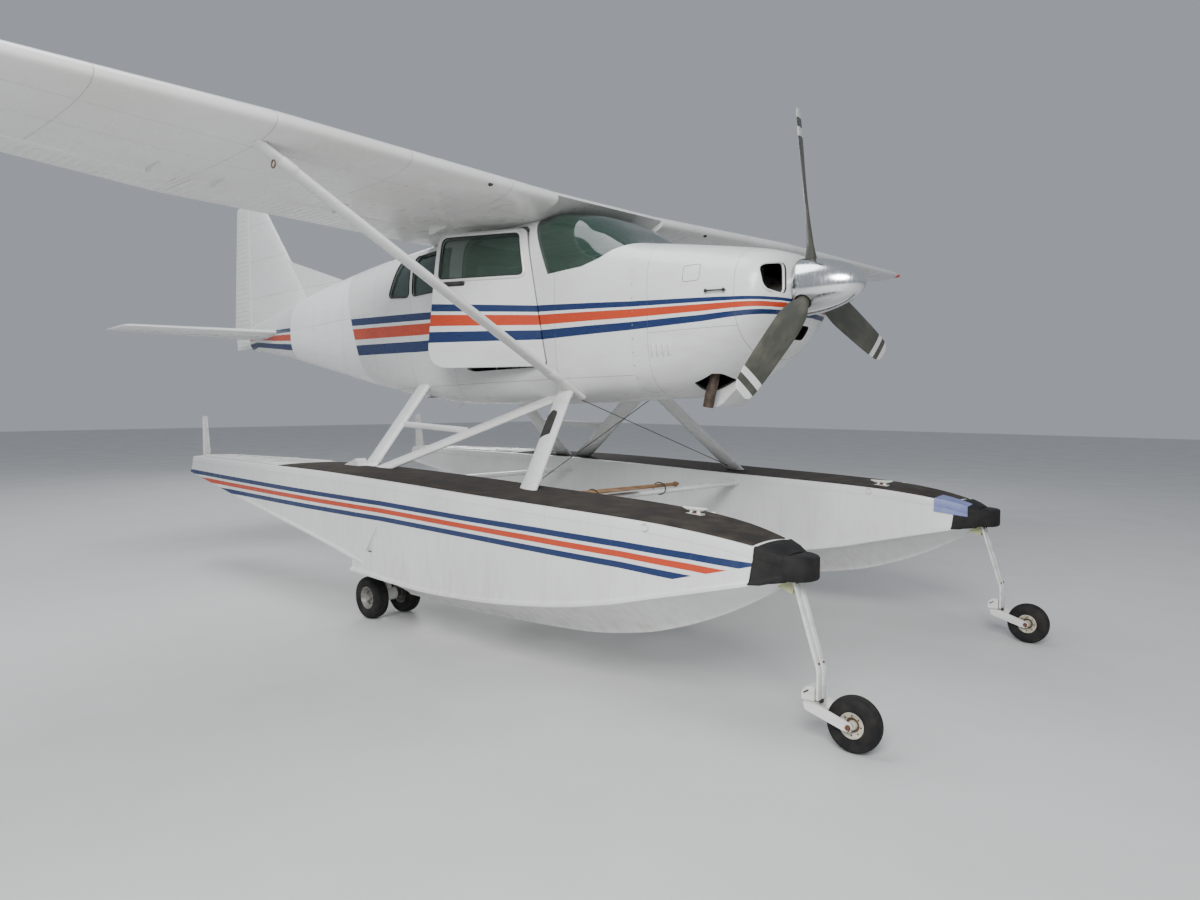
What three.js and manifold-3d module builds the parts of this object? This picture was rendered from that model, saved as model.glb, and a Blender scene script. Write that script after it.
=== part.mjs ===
import * as THREE from 'three';
import { mergeVertices } from 'three/addons/utils/BufferGeometryUtils.js';
import loadManifold from 'manifold-3d';

// A high-wing floatplane parked on the wheels of its amphibious floats.
// Millimetres. +X is the nose, +Y the port side and +Z up, with the floor at z = 0.
// The airframe is drawn in stations: x forward of the firewall, z above the firewall's foot.
// Floats and wheels are drawn over the floor, with x measured from below the firewall's foot.

const wasm = await loadManifold();
wasm.setup();

// Driving dimensions

const SEAT_GAP = 0.3; // between pieces that rest on each other
const RUN_GAP = 8; // round pieces that move
const SIDES = [['left', 1], ['right', -1]];

const NOSE_UP = 1.641; // degrees, the parked attitude
const FIREWALL_LIFT = 1670;

const CABIN_WALL = 35;
const COWL_WALL = 14;
const CABIN_REAR = -3000;
const TAIL_END = -6100;
const TAIL_WALL = 25;
const TAIL_HOLLOW_END = -5000;

// Fuselage sections. Columns: x, half width, bottom z, top z, squareness below, squareness above
const FUSELAGE = [
  [960, 330, 345, 742, 2, 2.4],
  [930, 400, 290, 760, 2.1, 2.6],
  [850, 448, 190, 787, 2.2, 2.9],
  [650, 478, 30, 826, 2.4, 3.4],
  [400, 489, -72, 868, 2.8, 4],
  [150, 491, -104, 908, 3.4, 4.6],
  [0, 493, -92, 930, 4, 5],
  [-60, 500, -95, 952, 4.2, 4.6],
  [-300, 530, -100, 1105, 4.5, 3.2],
  [-520, 548, -105, 1212, 5, 4],
  [-700, 560, -108, 1225, 5, 6],
  [-1200, 565, -110, 1225, 5, 6],
  [-1800, 556, -98, 1225, 5, 6],
  [-2250, 526, -62, 1225, 4.6, 5],
  [-3000, 455, 45, 1226, 4, 3.4],
  [-4100, 345, 258, 1158, 3.4, 2.6],
  [-5200, 212, 470, 1012, 3, 2.4],
  [-6100, 80, 608, 900, 2.6, 2.2],
];

// Wing sections. Columns: y, leading edge x, chord, thickness share, incidence in degrees
const WING_ROOT_Y = 567;
const WING = [
  [WING_ROOT_Y, -556, 1626, 1, 2.5],
  [2540, -556, 1626, 1, 2.5],
  [5240, -770, 1150, 1, 0],
  [5390, -800, 1070, 0.72, 0],
  [5460, -855, 900, 0.25, 0],
];
const WING_ROOT_Z = 1272;
const DIHEDRAL = 1.73;
const FLAP = { from: 640, to: 2540, hinge: 0.72 };
const AILERON = { from: 2600, to: 5130, hinge: 0.76 };

// Tailplane sections. Columns: y, leading edge x, trailing edge x, thickness
const TAILPLANE = [
  [-1640, -5480, -5960, 22],
  [-1560, -5400, -6030, 50],
  [0, -5190, -6240, 92],
  [1560, -5400, -6030, 50],
  [1640, -5480, -5960, 22],
];
const TAILPLANE_Z = 742;
const ELEVATOR_AXIS_X = -5800;
const ELEVATOR_INNER_Y = 140;

// Fin and rudder sections. Columns: z, leading edge x, trailing edge x, thickness
const FIN = [
  [640, -4520, -6570, 88],
  [936, -4755, -6612, 88],
  [2078, -5715, -6502, 56],
  [2230, -5842, -6486, 50],
  [2290, -5960, -6440, 22],
];
const RUDDER_AXIS_X = -6172;
const DORSAL = [[-4090, 1120], [-4090, 1162], [-5232, 1510], [-5500, 1700], [-5500, 900]];

// Door and window outlines seen from the side. Columns: corner x, corner z, corner radius
const DOOR = [[-704, 143, 50], [-894, 1142, 70], [-1600, 1142, 70], [-1664, 143, 190]];
const DOOR_WINDOW = [[-895, 792, 45], [-950, 1102, 45], [-1562, 1102, 45], [-1582, 792, 45]];
const REAR_WINDOWS = [
  [[-1790, 792, 45], [-1770, 1118, 45], [-2308, 1118, 45], [-2318, 792, 45]],
  [[-2368, 790, 60], [-2356, 1124, 60], [-2560, 1124, 60], [-2715, 822, 60]],
];
// One strip of glass lies behind both rear windows
const REAR_GLASS = [[-1768, 770, 20], [-1748, 1140, 20], [-2600, 1140, 20], [-2740, 770, 20]];
const SCREEN = [[-686, 772], [-846, 1178], [-560, 1290], [60, 1290], [60, 930], [-20, 924], [-75, 912],
  [-163, 884], [-261, 832], [-390, 792]];
const DOOR_AJAR = { left: 0, right: 23 }; // degrees, as the doors stand

// Float sections, over the floor. Columns: x, keel z, chine z, chine half width,
// side foot half width, deck edge z, deck half width
const FLOAT_Y = 1220;
const STEP_X = -1600;
const FOREBODY = [
  [1640, 735, 752, 100, 96, 842, 92],
  [1560, 676, 728, 168, 160, 872, 138],
  [1400, 578, 690, 232, 220, 906, 190],
  [1227, 489, 648, 276, 262, 932, 232],
  [1000, 396, 592, 312, 297, 954, 268],
  [745, 318, 528, 335, 320, 968, 295],
  [309, 245, 449, 347, 332, 982, 318],
  [-303, 210, 384, 350, 335, 996, 326],
  [-844, 194, 362, 350, 335, 1012, 328],
  [STEP_X, 195, 386, 350, 335, 1030, 328],
];
const AFTERBODY = [
  [-1480, 405, 448, 340, 334, 1028, 328],
  [-2150, 520, 562, 326, 320, 1036, 314],
  [-3400, 706, 722, 254, 250, 1030, 244],
  [-4640, 872, 876, 160, 157, 1016, 150],
];
const TRANSOM = { foot: [-4640, 876], head: [-4560, 1026] };
const STEP_NOTCH = { front: -1380, top: 372 };
const BUMPER = { back: 1505, low: 715, lean: 0.08, nose: 1640, radius: 110, nose_low: 735, nose_high: 850 };
const CLEAT = { x: 980, y: 1110, top: 1002, head: 12, post: 30, bar: 80, half: 12, root: 900 };
const WELL = { front: -1492, back: -2120, half: 200, top: 470 };

const MAIN_WHEEL = { x: -1668, r: 150, width: 104, offset: 136, rim: 76, hub: 44 };
const MAIN_AXLE = { bearing: 26, bore: 27.5, boss: 44, half: 50, collar: 38, collar_width: 20 };
const MAIN_LEG = { head: [-1790, 465], chord: 84, thick: 62 };
const NOSE_WHEEL = { x: 1950, r: 127, width: 84, rim: 56, hub: 40, axle: 12 };
const CASTER = { x: 1752, top: 262, bottom: 196, half: 50, back: 44, disc: 42, disc_thick: 16 };
// Each nose leg is two leaves side by side, with a knee above the caster box
const NOSE_LEG = { head: [1648, 735], knee: [1782, 336], apart: 36, half: 14, thick: 14 };
const LEG_PAD = { back: 1560, front: 1662, low: 690, high: 714, half: 52 };
// Arms of the caster fork. Columns: x, z, half height
const FORK_ARM = [[CASTER.x - 10, 168, 20], [CASTER.x + 30, 166, 20], [NOSE_WHEEL.x, NOSE_WHEEL.r, 20]];
const FORK = { out: 60, half: 6, crown: 36, crown_ends: [-20, 30] };

const PROP = { x: 1043, z: 551, r: 1033, lean: 9.3, blades: 3 };

// Strut ends in airframe stations
const STRUTS = {
  wing: { foot: [-536, 520, -20], head: [-794, 2520, 1230], chord: 118, thick: 46 },
  front: { foot: [-275, 1170, -690], head: [-590, 488, -20], chord: 142, thick: 54 },
  rear: { foot: [-2150, 1110, -625], head: [-2240, 485, 45], chord: 172, thick: 54 },
  brace: { foot: [-2060, 1140, -620], head: [-760, 430, -75], chord: 124, thick: 50 },
};
const STEP_BAR = { from: [-2190, 760, -246], to: [-1330, 760, -300], chord: 46, thick: 26 };
const REAR_FOOT = { side: [[-2470, -640], [-2470, -588], [-2205, -505], [-2120, -640]], y: 1112, half: 44 };
const SPREADERS = { front: -120, rear: -1930 };
const SPREADER = { z: 925, chord: 88, thick: 48 };
const WATER_RUDDER = { x: -4708, z: 985, thick: 10, hub: 22, boss: 18 };
const WATER_RUDDER_SIDE = [[-4735, 965], [-4625, 965], [-4592, 1040], [-4650, 1385], [-4735, 1385]];
const RUDDER_FORK = { thick: 9, radius: 16, half: 14, root: 10 };
const FAR = 400; // how far a cutting block runs past what it cuts

// Finishes

const finish = (color, roughness, metalness = 0) =>
  new THREE.MeshStandardMaterial({ color, roughness, metalness });
const WHITE = finish(0xe9e9e6, 0.35);
const RUBBER = finish(0x191919, 0.85);
const RIM = finish(0xd6d2c4, 0.45);
const STEEL = finish(0x9a9c9e, 0.4, 0.8);
const POLISHED = finish(0xc9cccf, 0.15, 1);
const BLADE = finish(0x3c3d38, 0.6);
const GLASS = new THREE.MeshStandardMaterial({
  color: 0x24423a, roughness: 0.08, transparent: true, opacity: 0.55,
});
const TRIM = finish(0x55585a, 0.8);

// Solids from three.js shapes

const rad = THREE.MathUtils.degToRad;
const vec = (x, y, z) => new THREE.Vector3(x, y, z);

function solidFromFaces(positions, faces) {
  const kept = [];
  for (let i = 0; i < faces.length; i += 3) {
    const [a, b, c] = faces.slice(i, i + 3);
    if (a !== b && b !== c && c !== a) kept.push(a, b, c);
  }
  const mesh = (triVerts) => new wasm.Mesh({
    numProp: 3, vertProperties: new Float32Array(positions), triVerts: new Uint32Array(triVerts),
  });
  const solid = new wasm.Manifold(mesh(kept));
  return solid.volume() > 0 ? solid : new wasm.Manifold(mesh(kept.reverse()));
}

function solidOf(geometry) {
  const bare = geometry.index ? geometry.clone() : mergeVertices(geometry);
  bare.deleteAttribute('normal');
  bare.deleteAttribute('uv');
  const merged = mergeVertices(bare, 0.001);
  return solidFromFaces(merged.attributes.position.array, [...merged.index.array]);
}

function geometryOf(solid) {
  const mesh = solid.getMesh();
  const geometry = new THREE.BufferGeometry();
  geometry.setAttribute('position', new THREE.BufferAttribute(mesh.vertProperties, 3));
  geometry.setIndex(new THREE.BufferAttribute(mesh.triVerts, 1));
  return geometry;
}

// A closed skin over rings of [x, y, z] points, each ring with the same number of points
function loft(rings) {
  const count = rings[0].length;
  const points = rings.flat();
  const faces = [];
  for (let i = 0; i + 1 < rings.length; i++) {
    for (let j = 0; j < count; j++) {
      const a = i * count + j;
      const b = i * count + (j + 1) % count;
      faces.push(a, b, b + count, a, b + count, a + count);
    }
  }
  for (const [ring, start] of [[rings[0], 0], [rings.at(-1), points.length - count]]) {
    const hub = points.length;
    points.push([0, 1, 2].map((k) => ring.reduce((sum, p) => sum + p[k], 0) / count));
    for (let j = 0; j < count; j++) {
      const pair = [start + j, start + (j + 1) % count];
      faces.push(hub, ...(start ? pair : pair.reverse()));
    }
  }
  return solidFromFaces(points.flat(), faces);
}

function box(x0, x1, y0, y1, z0, z1) {
  const geometry = new THREE.BoxGeometry(x1 - x0, Math.abs(y1 - y0), z1 - z0);
  return solidOf(geometry.translate((x0 + x1) / 2, (y0 + y1) / 2, (z0 + z1) / 2));
}

function rod(from, to, radius, sides = 12, endRadius = radius) {
  const along = to.clone().sub(from);
  const geometry = new THREE.CylinderGeometry(endRadius, radius, along.length(), sides);
  const turn = new THREE.Quaternion().setFromUnitVectors(vec(0, 1, 0), along.clone().normalize());
  geometry.applyQuaternion(turn);
  return solidOf(geometry.translate(...from.clone().add(to).multiplyScalar(0.5)));
}

// A wheel or hub turned about an axle along y. Profile columns: radius, y
function turnedOnAxle(profile, x, y, z, sides = 20) {
  const points = profile.map(([r, h]) => new THREE.Vector2(r, h));
  return solidOf(new THREE.LatheGeometry(points, sides).translate(x, y, z));
}

// An outline of rounded corners in the side view. Columns: x, z, corner radius
function roundedOutline(corners) {
  const shape = new THREE.Shape();
  const at = (i) => new THREE.Vector2(...corners.at(i % corners.length));
  corners.forEach(([, , radius], i) => {
    const corner = at(i);
    const before = at(i - 1).sub(corner).setLength(radius).add(corner);
    const after = at(i + 1).sub(corner).setLength(radius).add(corner);
    if (i) shape.lineTo(before.x, before.y);
    else shape.moveTo(before.x, before.y);
    shape.quadraticCurveTo(corner.x, corner.y, after.x, after.y);
  });
  shape.closePath();
  return shape;
}

// Extrudes a side-view shape across the object, between two y
function across(shape, y0, y1) {
  const geometry = new THREE.ExtrudeGeometry(shape, {
    depth: Math.abs(y1 - y0), bevelEnabled: false, curveSegments: 2,
  });
  return solidOf(geometry.rotateX(Math.PI / 2).translate(0, Math.max(y0, y1), 0));
}

// A prism of a side-view outline through one side of the cabin
const THROUGH_SIDE = [250, 700];
function sidePrism(corners, side, grow = 0) {
  const centre = corners.reduce((s, c) => [s[0] + c[0] / 4, s[1] + c[1] / 4], [0, 0]);
  const grown = corners.map(([x, z, radius]) =>
    [x + grow * Math.sign(x - centre[0]), z + grow * Math.sign(z - centre[1]), radius + grow]);
  return across(roundedOutline(grown), ...THROUGH_SIDE.map((y) => side * y));
}

const polygon = (points) => new THREE.Shape(points.map(([x, z]) => new THREE.Vector2(x, z)));
const largest = (solid) => solid.decompose().reduce((a, b) => (a.volume() > b.volume() ? a : b));
const join = (...solids) => solids.reduce((a, b) => a.add(b));
const mirrored = (solid) => solid.mirror([0, 1, 0]);
const onSide = (solid, side) => (side > 0 ? solid : mirrored(solid));

// A streamlined bar between two points, its chord as near the flight line as it can be
function fairedBar(from, to, chord, thick, grow = 0, overrun = 0) {
  const axis = to.clone().sub(from).normalize();
  const fore = vec(1, 0, 0).addScaledVector(axis, -axis.x).normalize();
  const over = axis.clone().cross(fore);
  const start = from.clone().addScaledVector(axis, -overrun);
  const end = to.clone().addScaledVector(axis, overrun);
  const half = chord / 2 + grow;
  const rings = [start, end].map((centre) => Array.from({ length: 12 }, (_, k) => {
    const turn = (k / 12) * 2 * Math.PI;
    const taper = 0.78 + 0.22 * Math.cos(turn);
    return centre.clone().addScaledVector(fore, half * Math.cos(turn))
      .addScaledVector(over, (thick / 2 + grow) * Math.sin(turn) * taper).toArray();
  }));
  return loft(rings);
}

// Hinges: a fixed lug reaches to the axis and sits in a slot of the moving piece
const LUG = { radius: 10, thick: 8, neck: 7, root: 14 };
const slotRadius = (radius) => radius * 1.08 + 2;
const SQUARE = [[1, 1], [1, -1], [-1, -1], [-1, 1]];
function hingeLugs(axis, shares, reach, radiusAt) {
  const lugs = [];
  const slots = [];
  const along = axis.to.clone().sub(axis.from).normalize();
  const fore = vec(1, 0, 0).addScaledVector(along, -along.x).normalize();
  const over = along.clone().cross(fore);
  for (const share of shares) {
    const centre = axis.from.clone().lerp(axis.to, share);
    const disc = (radius, thick) => rod(centre.clone().addScaledVector(along, -thick / 2),
      centre.clone().addScaledVector(along, thick / 2), radius, 10);
    const corner = (far, u, v) => centre.clone().addScaledVector(fore, far)
      .addScaledVector(along, (u * LUG.thick) / 2).addScaledVector(over, v * LUG.neck).toArray();
    const neck = loft([0, radiusAt(share) + reach].map((far) => SQUARE.map(([u, v]) => corner(far, u, v))));
    lugs.push(join(disc(LUG.radius, LUG.thick), neck));
    slots.push(disc(slotRadius(radiusAt(share)), LUG.thick + 2 * SEAT_GAP));
  }
  return { lugs: join(...lugs), slots: join(...slots) };
}

// The assembly

const plane = new THREE.Group();
const airframe = new THREE.Group();
const floats = new THREE.Group();
airframe.rotation.y = -rad(NOSE_UP);
airframe.position.z = FIREWALL_LIFT;
plane.add(airframe, floats);
airframe.updateMatrix();
const overFloor = ([x, y, z]) => vec(x, y, z).applyMatrix4(airframe.matrix);
const axes = {};

function piece(parent, name, solid, material) {
  const mesh = new THREE.Mesh(geometryOf(solid), material);
  mesh.name = name;
  parent.add(mesh);
  return mesh;
}

// Fuselage

function fuselageAt(x) {
  const passed = FUSELAGE.filter((row) => row[0] > x).length;
  const i = Math.min(Math.max(passed, 1), FUSELAGE.length - 1);
  const [front, back] = [FUSELAGE[i - 1], FUSELAGE[i]];
  const share = (front[0] - x) / (front[0] - back[0]);
  return front.map((value, k) => value + (back[k] - value) * share);
}

const RING = 24; // points round a fuselage section
function fuselageRing(x, inset) {
  const [, half, low, high, below, above] = fuselageAt(x);
  const mid = (low + high) / 2;
  return Array.from({ length: RING }, (_, k) => {
    const turn = ((k + 0.5) / RING) * 2 * Math.PI;
    const power = 2 / (turn < Math.PI ? above : below);
    const [c, s] = [Math.cos(turn), Math.sin(turn)];
    const y = (half - inset) * Math.sign(c) * Math.abs(c) ** power;
    const z = mid + ((high - low) / 2 - inset) * Math.sign(s) * Math.abs(s) ** power;
    return [x, y, z];
  });
}

function fuselageBody(front, back, inset = 0) {
  const between = FUSELAGE.map((row) => row[0]).filter((x) => x < front - 1 && x > back + 1);
  return loft([front, ...between, back].map((x) => fuselageRing(x, inset)));
}

// Wing

const thicknessAt = (u) => 0.6 * (0.2969 * Math.sqrt(u) - 0.126 * u - 0.3516 * u ** 2
  + 0.2843 * u ** 3 - 0.1015 * u ** 4);
const camberAt = (u) => (u < 0.4 ? 0.125 * (0.8 * u - u ** 2) : 0.0556 * (0.2 + 0.8 * u - u ** 2));

function wingAt(y) {
  const i = Math.max(1, WING.findIndex((row) => row[0] >= y));
  const [inner, outer] = [WING[i - 1], WING[i]];
  const share = (y - inner[0]) / (outer[0] - inner[0]);
  const [, lead, chord, thick, tilt] = inner.map((v, k) => v + (outer[k] - v) * share);
  const z = WING_ROOT_Z + Math.tan(rad(DIHEDRAL)) * (y - WING_ROOT_Y);
  return { y, lead, chord, thick, tilt: rad(tilt), z };
}

function onWing(at, u, w) {
  const [c, s] = [Math.cos(at.tilt), Math.sin(at.tilt)];
  return [at.lead - at.chord * (u * c + w * s), at.y, at.z + at.chord * (w * c - u * s)];
}

const HALF_FOIL = 7; // steps along each face of the wing section
const EDGE = 0.8; // half thickness left at the trailing edge
function wingRing(y, grow) {
  const at = wingAt(y);
  // From the trailing edge over the top to the nose, and back along the lower face
  return Array.from({ length: 2 * HALF_FOIL + 1 }, (_, k) => {
    const face = k <= HALF_FOIL ? 1 : -1;
    const u = (1 - Math.cos((Math.abs(HALF_FOIL - k) / HALF_FOIL) * Math.PI)) / 2;
    const half = thicknessAt(u) * at.thick + (grow + EDGE) / at.chord;
    const ahead = k === HALF_FOIL ? grow / at.chord : 0;
    return onWing(at, u - ahead, camberAt(u) * at.thick + face * half);
  });
}

const wingBody = (grow = 0) => loft(WING.map((row) => wingRing(row[0], grow)));

// Splits a hinged surface off the back of the wing
const HINGE_SHARES = [0.06, 0.5, 0.94];
const BEHIND = { x: -2600, low: 900, tall: 900 };
function controlSurface(wing, { from, to, hinge }) {
  const ends = [from, to].map((y) => wingAt(y));
  const radius = ends.map((at) => (thicknessAt(hinge) * at.thick) * at.chord);
  const points = ends.map((at) => vec(...onWing(at, hinge, camberAt(hinge))));
  const axis = { from: points[0], to: points[1] };
  const along = points[1].clone().sub(points[0]).normalize();
  const nose = (grow, over) => rod(points[0].clone().addScaledVector(along, -over),
    points[1].clone().addScaledVector(along, over), radius[0] + grow, 12, radius[1] + grow);
  const behind = (over) => {
    const [low, high] = [from - over, to + over];
    const plan = polygon([[points[0].x, low], [points[1].x, high], [BEHIND.x, high], [BEHIND.x, low]]);
    const geometry = new THREE.ExtrudeGeometry(plan, { depth: BEHIND.tall, bevelEnabled: false });
    return solidOf(geometry.translate(0, 0, BEHIND.low));
  };
  const { lugs, slots } = hingeLugs(axis, HINGE_SHARES, RUN_GAP + LUG.root,
    (share) => radius[0] + (radius[1] - radius[0]) * share);
  const surface = largest(join(wing.intersect(behind(0)), nose(0, 0)).subtract(slots));
  const rest = join(wing.subtract(join(behind(RUN_GAP), nose(RUN_GAP, RUN_GAP))), lugs);
  return { surface, rest: largest(rest), axis };
}

const wholeWing = wingBody();
const flapCut = controlSurface(wholeWing, FLAP);
const aileronCut = controlSurface(flapCut.rest, AILERON);
for (const [name, side] of SIDES) {
  piece(airframe, `wing_${name}`, onSide(aileronCut.rest, side), WHITE);
  piece(airframe, `flap_${name}`, onSide(flapCut.surface, side), WHITE);
  piece(airframe, `aileron_${name}`, onSide(aileronCut.surface, side), WHITE);
  for (const [key, cut] of [['flap', flapCut], ['aileron', aileronCut]]) {
    axes[`${key}_${name}`] = [cut.axis.from, cut.axis.to].map((p) => overFloor([p.x, side * p.y, p.z]));
  }
}

// Cabin shell with its roof between the wings, doors, windows and floor

const skin = (inset, wall) =>
  fuselageBody(0, CABIN_REAR, inset).subtract(fuselageBody(1, CABIN_REAR - 1, inset + wall));
const cabinOuter = fuselageBody(0, CABIN_REAR);
const cabinInner = fuselageBody(-CABIN_WALL, CABIN_REAR + CABIN_WALL, CABIN_WALL);
const roof = loft([-1, 1].map((side) => wingRing(WING_ROOT_Y, 0)
  .map(([x, , z]) => [x, side * (WING_ROOT_Y - SEAT_GAP), z])));
const FLOOR_Z = -40;
const REAR_FLOOR = { x: -1790, z: 40 };
const FLOOR_END = 5; // the floor stops this far inside both ends of the cabin
const BESIDE = 800; // past the fuselage's sides
const BELOW = -200; // under the fuselage
const floorBox = (front, z) => box(CABIN_REAR + FLOOR_END, front, -BESIDE, BESIDE, BELOW, z);
const floorSlab = join(floorBox(-FLOOR_END, FLOOR_Z), floorBox(REAR_FLOOR.x, REAR_FLOOR.z))
  .intersect(cabinOuter);
const SCREEN_MIDDLE = [-400, 1000];
const screenSpace = (share) => {
  const scaled = SCREEN.map((corner) => corner.map((v, k) =>
    SCREEN_MIDDLE[k] + (v - SCREEN_MIDDLE[k]) * share));
  return across(polygon(scaled), -BESIDE, BESIDE);
};

// Door hinges stand on the slanting front edge, just outside the skin
const HINGE_OUT = 572;
const HINGE_AT = [0.16, 0.56];
const HINGE = { radius: 9, frame: 20, door: 76, leaf: 46, leaf_out: 2, leaf_in: 20, slot: 6 };
function doorHinges(side) {
  const [from, to] = DOOR.map(([x, z]) => vec(x, side * HINGE_OUT, z));
  const along = to.clone().sub(from).normalize();
  const parts = { frame: [], door: [], slots: [] };
  for (const share of HINGE_AT) {
    const centre = from.clone().lerp(to, share);
    const barrel = (radius, length) => rod(centre.clone().addScaledVector(along, -length / 2),
      centre.clone().addScaledVector(along, length / 2), radius);
    const leaf = (reach, length) => {
      const shape = polygon([[0, -length / 2], [0, length / 2], [reach, length / 2], [reach, -length / 2]]
        .map(([x, z]) => [centre.x + x * along.z + z * along.x, centre.z + z * along.z - x * along.x]));
      return across(shape, side * (HINGE_OUT + HINGE.leaf_out), side * (HINGE_OUT - HINGE.leaf_in));
    };
    parts.frame.push(barrel(HINGE.radius, HINGE.frame), leaf(HINGE.leaf, HINGE.frame));
    parts.door.push(barrel(HINGE.radius, HINGE.door), leaf(-HINGE.leaf, HINGE.door));
    parts.slots.push(barrel(HINGE.radius + HINGE.slot, HINGE.frame + 2 * SEAT_GAP));
  }
  const [frame, door, slots] = [parts.frame, parts.door, parts.slots].map((solids) => join(...solids));
  return { from, to, along, frame, door, slots };
}

const SILL_GAP = 3; // half of the running gap round a door
const SCREEN_CUT = { front: 200, back: -900, out: 5 };
let cabin = cabinOuter.subtract(cabinInner).add(floorSlab).add(roof)
  .subtract(screenSpace(1).intersect(fuselageBody(SCREEN_CUT.front, SCREEN_CUT.back, -SCREEN_CUT.out)));
const GLASS_DEPTH = { outer: 14, inner: 20 };
const glassStrip = (grow) => fuselageBody(0, CABIN_REAR, GLASS_DEPTH.outer - grow)
  .subtract(fuselageBody(1, CABIN_REAR - 1, GLASS_DEPTH.inner + grow));
const doorWall = skin(0, CABIN_WALL);
const strip = glassStrip(0);
const stripSpace = glassStrip(SEAT_GAP);

for (const [name, side] of SIDES) {
  const hinges = doorHinges(side);
  const doorway = sidePrism(DOOR, side, SILL_GAP);
  const opening = sidePrism(DOOR_WINDOW, side);
  cabin = cabin.subtract(doorway).subtract(join(...REAR_WINDOWS.map((w) => sidePrism(w, side))))
    .subtract(stripSpace.intersect(sidePrism(REAR_GLASS, side, SEAT_GAP))).add(hinges.frame);
  const door = largest(doorWall.intersect(sidePrism(DOOR, side, -SILL_GAP)).add(hinges.door)
    .subtract(opening).subtract(hinges.slots));
  const pane = largest(strip.intersect(sidePrism(DOOR_WINDOW, side, -SEAT_GAP)));
  const sideGlass = largest(strip.intersect(sidePrism(REAR_GLASS, side)));
  const swing = new THREE.Group();
  const hinge = new THREE.Group();
  hinge.position.copy(hinges.from);
  hinge.quaternion.setFromAxisAngle(hinges.along, -side * rad(DOOR_AJAR[name]));
  swing.position.copy(hinges.from).negate();
  hinge.add(swing);
  airframe.add(hinge);
  piece(swing, `door_${name}`, door, WHITE);
  piece(swing, `door_glass_${name}`, pane, GLASS);
  piece(airframe, `side_glass_${name}`, sideGlass, GLASS);
  axes[`door_${name}`] = [hinges.from, hinges.to].map((p) => overFloor(p.toArray()));
}
piece(airframe, 'cabin_shell', largest(cabin), WHITE);

// The screen wraps round from door post to door post, under the wing roots
const grownRoof = loft([-1, 1].map((side) => wingRing(WING_ROOT_Y, SEAT_GAP)
  .map(([x, , z]) => [x, side * WING_ROOT_Y, z])));
const SCREEN_GLASS = { depth: 4, wall: 6, share: 0.997 };
const screenGlass = skin(SCREEN_GLASS.depth, SCREEN_GLASS.wall)
  .intersect(screenSpace(SCREEN_GLASS.share)).subtract(grownRoof);
piece(airframe, 'windshield', largest(screenGlass), GLASS);

// Tail cone, tailplane, elevator, fin and rudder

const symmetricRing = (lead, trail, thick, place) => Array.from({ length: 16 }, (_, k) => {
  const turn = (k / 16) * 2 * Math.PI;
  const u = (1 + Math.cos(turn)) / 2;
  const half = Math.sign(Math.sin(turn)) * (thick / 0.12) * thicknessAt(u) + Math.sin(turn);
  return place(lead + (trail - lead) * u, half);
});
const tailplaneBody = (grow) => loft(TAILPLANE.map(([y, lead, trail, thick]) =>
  symmetricRing(lead + grow, trail - grow, thick + 2 * grow, (x, h) => [x, y, TAILPLANE_Z + h])));
const finBody = loft(FIN.map(([z, lead, trail, thick]) =>
  symmetricRing(lead, trail, thick, (x, h) => [x, h, z])));

const onElevatorAxis = (y) => vec(ELEVATOR_AXIS_X, y, TAILPLANE_Z);
const TAIL_HALF = TAILPLANE.at(-1)[0];
const NOSE_RADIUS = { root: 38, tip: 12 };
const elevatorNose = (share) =>
  NOSE_RADIUS.root - (NOSE_RADIUS.root - NOSE_RADIUS.tip) * Math.abs(2 * share - 1);
const noseAt = (y) => elevatorNose(0.5 + y / TAIL_HALF / 2);
const noseHalf = (side, grow, inner, outer) => rod(onElevatorAxis(side * inner),
  onElevatorAxis(side * outer), noseAt(inner) + grow, 12, noseAt(outer) + grow);
const elevatorHinges = hingeLugs({ from: onElevatorAxis(-TAIL_HALF), to: onElevatorAxis(TAIL_HALF) },
  [0.08, 0.3, 0.7, 0.92], RUN_GAP + LUG.root, elevatorNose);
const wholeTailplane = tailplaneBody(0);
const TORQUE_TUBE = { radius: 20, half: 300 };
const torqueTube = (half, grow, sides) =>
  rod(onElevatorAxis(-half), onElevatorAxis(half), TORQUE_TUBE.radius + grow, sides);
// Everything behind a line across the tailplane, between two y
const behindTail = (x, ...ys) => box(x - FAR - 200, x, ...ys, TAILPLANE_Z - FAR / 2, TAILPLANE_Z + FAR / 2);
let elevator = torqueTube(TORQUE_TUBE.half, 0);
let tailplane = wholeTailplane
  .subtract(behindTail(ELEVATOR_AXIS_X + RUN_GAP, -TAIL_HALF - FAR, TAIL_HALF + FAR))
  .subtract(torqueTube(ELEVATOR_INNER_Y, RUN_GAP, 24));
for (const side of [1, -1]) {
  const [inner, outer] = [ELEVATOR_INNER_Y, TAIL_HALF];
  elevator = elevator.add(noseHalf(side, 0, inner, outer))
    .add(wholeTailplane.intersect(behindTail(ELEVATOR_AXIS_X, side * inner, side * outer)));
  tailplane = tailplane.subtract(noseHalf(side, RUN_GAP, inner - RUN_GAP, outer + 5 * RUN_GAP));
}
piece(airframe, 'elevator', largest(elevator.subtract(elevatorHinges.slots)), WHITE);
piece(airframe, 'tailplane', largest(tailplane.add(elevatorHinges.lugs)), WHITE);
axes.elevator = [-TAIL_HALF, TAIL_HALF].map((y) => overFloor(onElevatorAxis(y).toArray()));

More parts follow.
